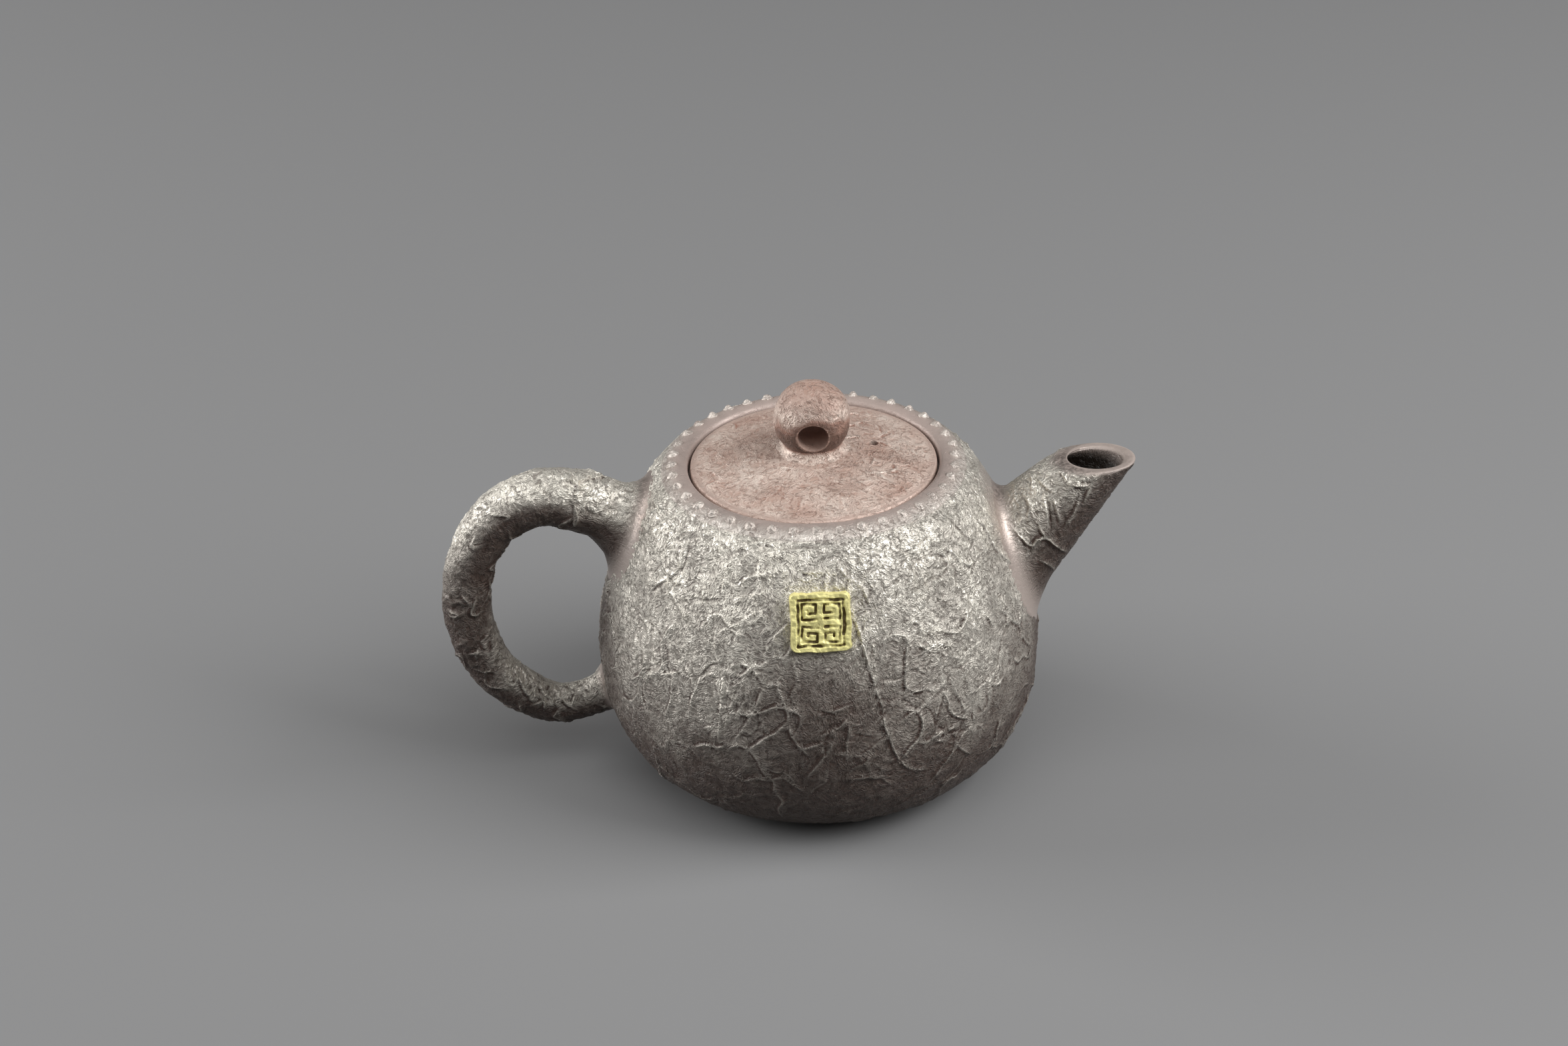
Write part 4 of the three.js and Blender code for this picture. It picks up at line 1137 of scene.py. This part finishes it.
lid_rings = 64
lid_flat = LID_RADIUS - LID_EDGE_ROUND
lid_profile = [(lid_flat * k / lid_rings, lid_top(lid_flat * k / lid_rings)) for k in range(lid_rings + 1)]
for k in range(1, 7):
    angle = math.pi / 2 * k / 6
    lid_profile.append((lid_flat + LID_EDGE_ROUND * math.sin(angle),
                        lid_top(lid_flat) - LID_EDGE_ROUND * (1 - math.cos(angle))))
lid_profile += [(LID_RADIUS, LID_UNDERSIDE + 0.3), (LID_RADIUS - 0.3, LID_UNDERSIDE)]
hollow_radius = FLANGE_RADIUS - FLANGE_WALL
for k in range(9):
    radius = hollow_radius * (1 - k / 8)
    lid_profile.append((radius, LID_UNDERSIDE + LID_HOLLOW * (1 - (radius / hollow_radius) ** 2)))
lid = spun(lid_profile, LID_STEPS_ROUND)
lid = bored(lid, rod(VENT_PLACE, VENT_PLACE + Vector((0, 0, LID_CROWN + 5)), VENT_RADIUS))
relief_layer, rough_layer, bloom_and_painted_light_layer, side_layer, lift_layer = marked_layers(lid)
for vert in lid.verts:
    radius = math.hypot(vert.co.x, vert.co.y)
    vert[rough_layer] = 0.3
    vert[bloom_and_painted_light_layer] = 0.2
    vert[side_layer] = FOLD_REACH
    if vert.co.z < lid_top(radius) - 1.2:
        continue
    to_edge = smooth_step(LID_RADIUS - 2.4, LID_RADIUS - 0.6, radius)
    rough = 1 - 0.7 * to_edge
    to_vent = (Vector((vert.co.x, vert.co.y, 0)) - VENT_PLACE).length
    folded, vert[side_layer], marked = fold_at(vert.co, Vector((0, 0, 1)), lid_folds)
    lift = rough * (0.45 * crinkle(vert.co * 1.15, 120) + 0.6 * folded) - 0.14 * ridge(to_vent, 1.9)
    vert[relief_layer] = 1.6 * lift
    vert[rough_layer] = rough
    vert[bloom_and_painted_light_layer] = min(1.0, 0.63 + 0.5 * to_edge + 0.5 * noise.noise(vert.co / 7))
    vert[lift_layer] = 0.8 * rough * marked
    vert.co.z += lift
lid_clay = clay("lid_clay", brown=(0.40, 0.225, 0.17), silver=(0.95, 0.81, 0.71), smooth=(0.53, 0.385, 0.325),
                bloom=(0.02, 0.42), roughness=0.46, wrinkle_depth=0.15, grain=0.03, stretch=(0.35, 1.7))
place(lid, "lid", lid_clay, "lid", "lid_clay", "lid_plate")

# Lid flange: a ring under the lid that drops through the seat and keeps the lid from sliding.
flange_low, flange_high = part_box("lid_flange")
flange_bottom, flange_top = flange_low.z / MM, flange_high.z / MM
flange_profile = [(hollow_radius + 0.4, flange_bottom), (FLANGE_RADIUS - 0.4, flange_bottom),
                  (FLANGE_RADIUS - 0.1, flange_bottom + 0.15), (FLANGE_RADIUS, flange_bottom + 0.6),
                  (FLANGE_RADIUS, flange_top + JOINT_LINE), (hollow_radius, flange_top + JOINT_LINE),
                  (hollow_radius, flange_bottom + 0.6), (hollow_radius + 0.1, flange_bottom + 0.15)]
place(spun(flange_profile, 160, closed=True), "flange", lid_clay, "lid", "lid_clay", "lid_flange")

# Knob: a thrown ball on a short flared foot, bored through from front to back for a cord.
KNOB_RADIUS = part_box("lid_knob")[1].x / MM
KNOB_HALF_HEIGHT = 7.4
KNOB_CENTRE = Vector((0, 0, LID_CROWN + 6.9))
KNOB_NECK_RADIUS = 6.2
KNOB_FOOT_RADIUS = 7.9
KNOB_FULLNESS = 0.85              # power of the ball's profile, which is 1 on a true ellipse
KNOB_BORE_RADIUS = 3.2
KNOB_BORE_DROP = 1.4              # bore's axis below the ball's centre
KNOB_STEPS_ROUND = 144


def ball_point(angle):
    """Radius and height of the ball's profile at an angle above its middle."""
    rise = math.copysign(abs(math.sin(angle)) ** KNOB_FULLNESS, angle)
    return KNOB_RADIUS * max(math.cos(angle), 0.0) ** KNOB_FULLNESS, KNOB_CENTRE.z + KNOB_HALF_HEIGHT * rise


low_angle = -math.acos((KNOB_NECK_RADIUS / KNOB_RADIUS) ** (1 / KNOB_FULLNESS))
_, neck_height = ball_point(low_angle)
foot_height = lid_top(KNOB_FOOT_RADIUS) + 0.02
knob_profile = [(0, foot_height - 0.4), (KNOB_FOOT_RADIUS, foot_height - 0.4)]
for k in range(15):
    angle = math.pi / 2 * k / 14
    knob_profile.append((KNOB_FOOT_RADIUS + (KNOB_NECK_RADIUS - KNOB_FOOT_RADIUS) * math.sin(angle),
                         foot_height + (neck_height - foot_height) * (1 - math.cos(angle))))
for k in range(1, 49):
    radius, height = ball_point(low_angle + (math.pi / 2 - low_angle) * k / 48)
    knob_profile.append((radius if k < 48 else 0, height))
knob = spun(knob_profile, KNOB_STEPS_ROUND)
bore_middle = KNOB_CENTRE - Vector((0, 0, KNOB_BORE_DROP))


def to_bore(point):
    """Distance of a point from the axis of the knob's bore."""
    return math.hypot(point.x, point.z - bore_middle.z)


for vert in knob.verts:
    out = (vert.co - KNOB_CENTRE).normalized()
    share = smooth_step(-6.5, -3.0, vert.co.z - KNOB_CENTRE.z)
    dished = 0.5 * ridge(max(to_bore(vert.co) - 2.4, 0), 1.7)
    vert.co += share * (0.22 * noise.noise(vert.co / 5.5) - dished) * out
knob = bored(knob, rod(bore_middle - Vector((0, 12, 0)), bore_middle + Vector((0, 12, 0)), KNOB_BORE_RADIUS, 48))
mouth_edges = [edge for edge in knob.edges if edge.is_manifold and edge.calc_face_angle() > 0.7
               and to_bore(edge.verts[0].co) < KNOB_BORE_RADIUS + 0.2]
bmesh.ops.bevel(knob, geom=mouth_edges, offset=0.3, offset_type="OFFSET", segments=2, profile=0.5,
                affect="EDGES", material=-1)
relief_layer, rough_layer, bloom_and_painted_light_layer, side_layer, lift_layer = marked_layers(knob)
knob.normal_update()
for vert in knob.verts:
    in_bore = to_bore(vert.co) < KNOB_BORE_RADIUS + 0.4
    lift = 0.0 if in_bore else 0.35 * crinkle(vert.co * 1.2, 160)
    vert[relief_layer] = 1.6 * lift
    vert[rough_layer] = 0.3 if in_bore else 0.9
    if not in_bore:
        on_ball = smooth_step(neck_height - 0.8, neck_height, vert.co.z)
        # Painted shade: the ball is painted darker where it faces down.
        painted_shade_under_ball = on_ball * smooth_step(0.35, -0.30, vert.normal.z + 0.35 * noise.noise(vert.co / 3))
        # Painted highlight: a lighter band round the ball's middle and a lighter foot.
        painted_highlight_band = max(1 - on_ball, 0.3 + 0.9 * ridge(vert.co.z - KNOB_CENTRE.z - 1.5, 2.6))
        vert[bloom_and_painted_light_layer] = painted_highlight_band * (1 - painted_shade_under_ball) - 0.6 * painted_shade_under_ball
    vert.co += lift * vert.normal
place(knob, "knob", lid_clay, "lid", "lid_clay", "lid_knob")
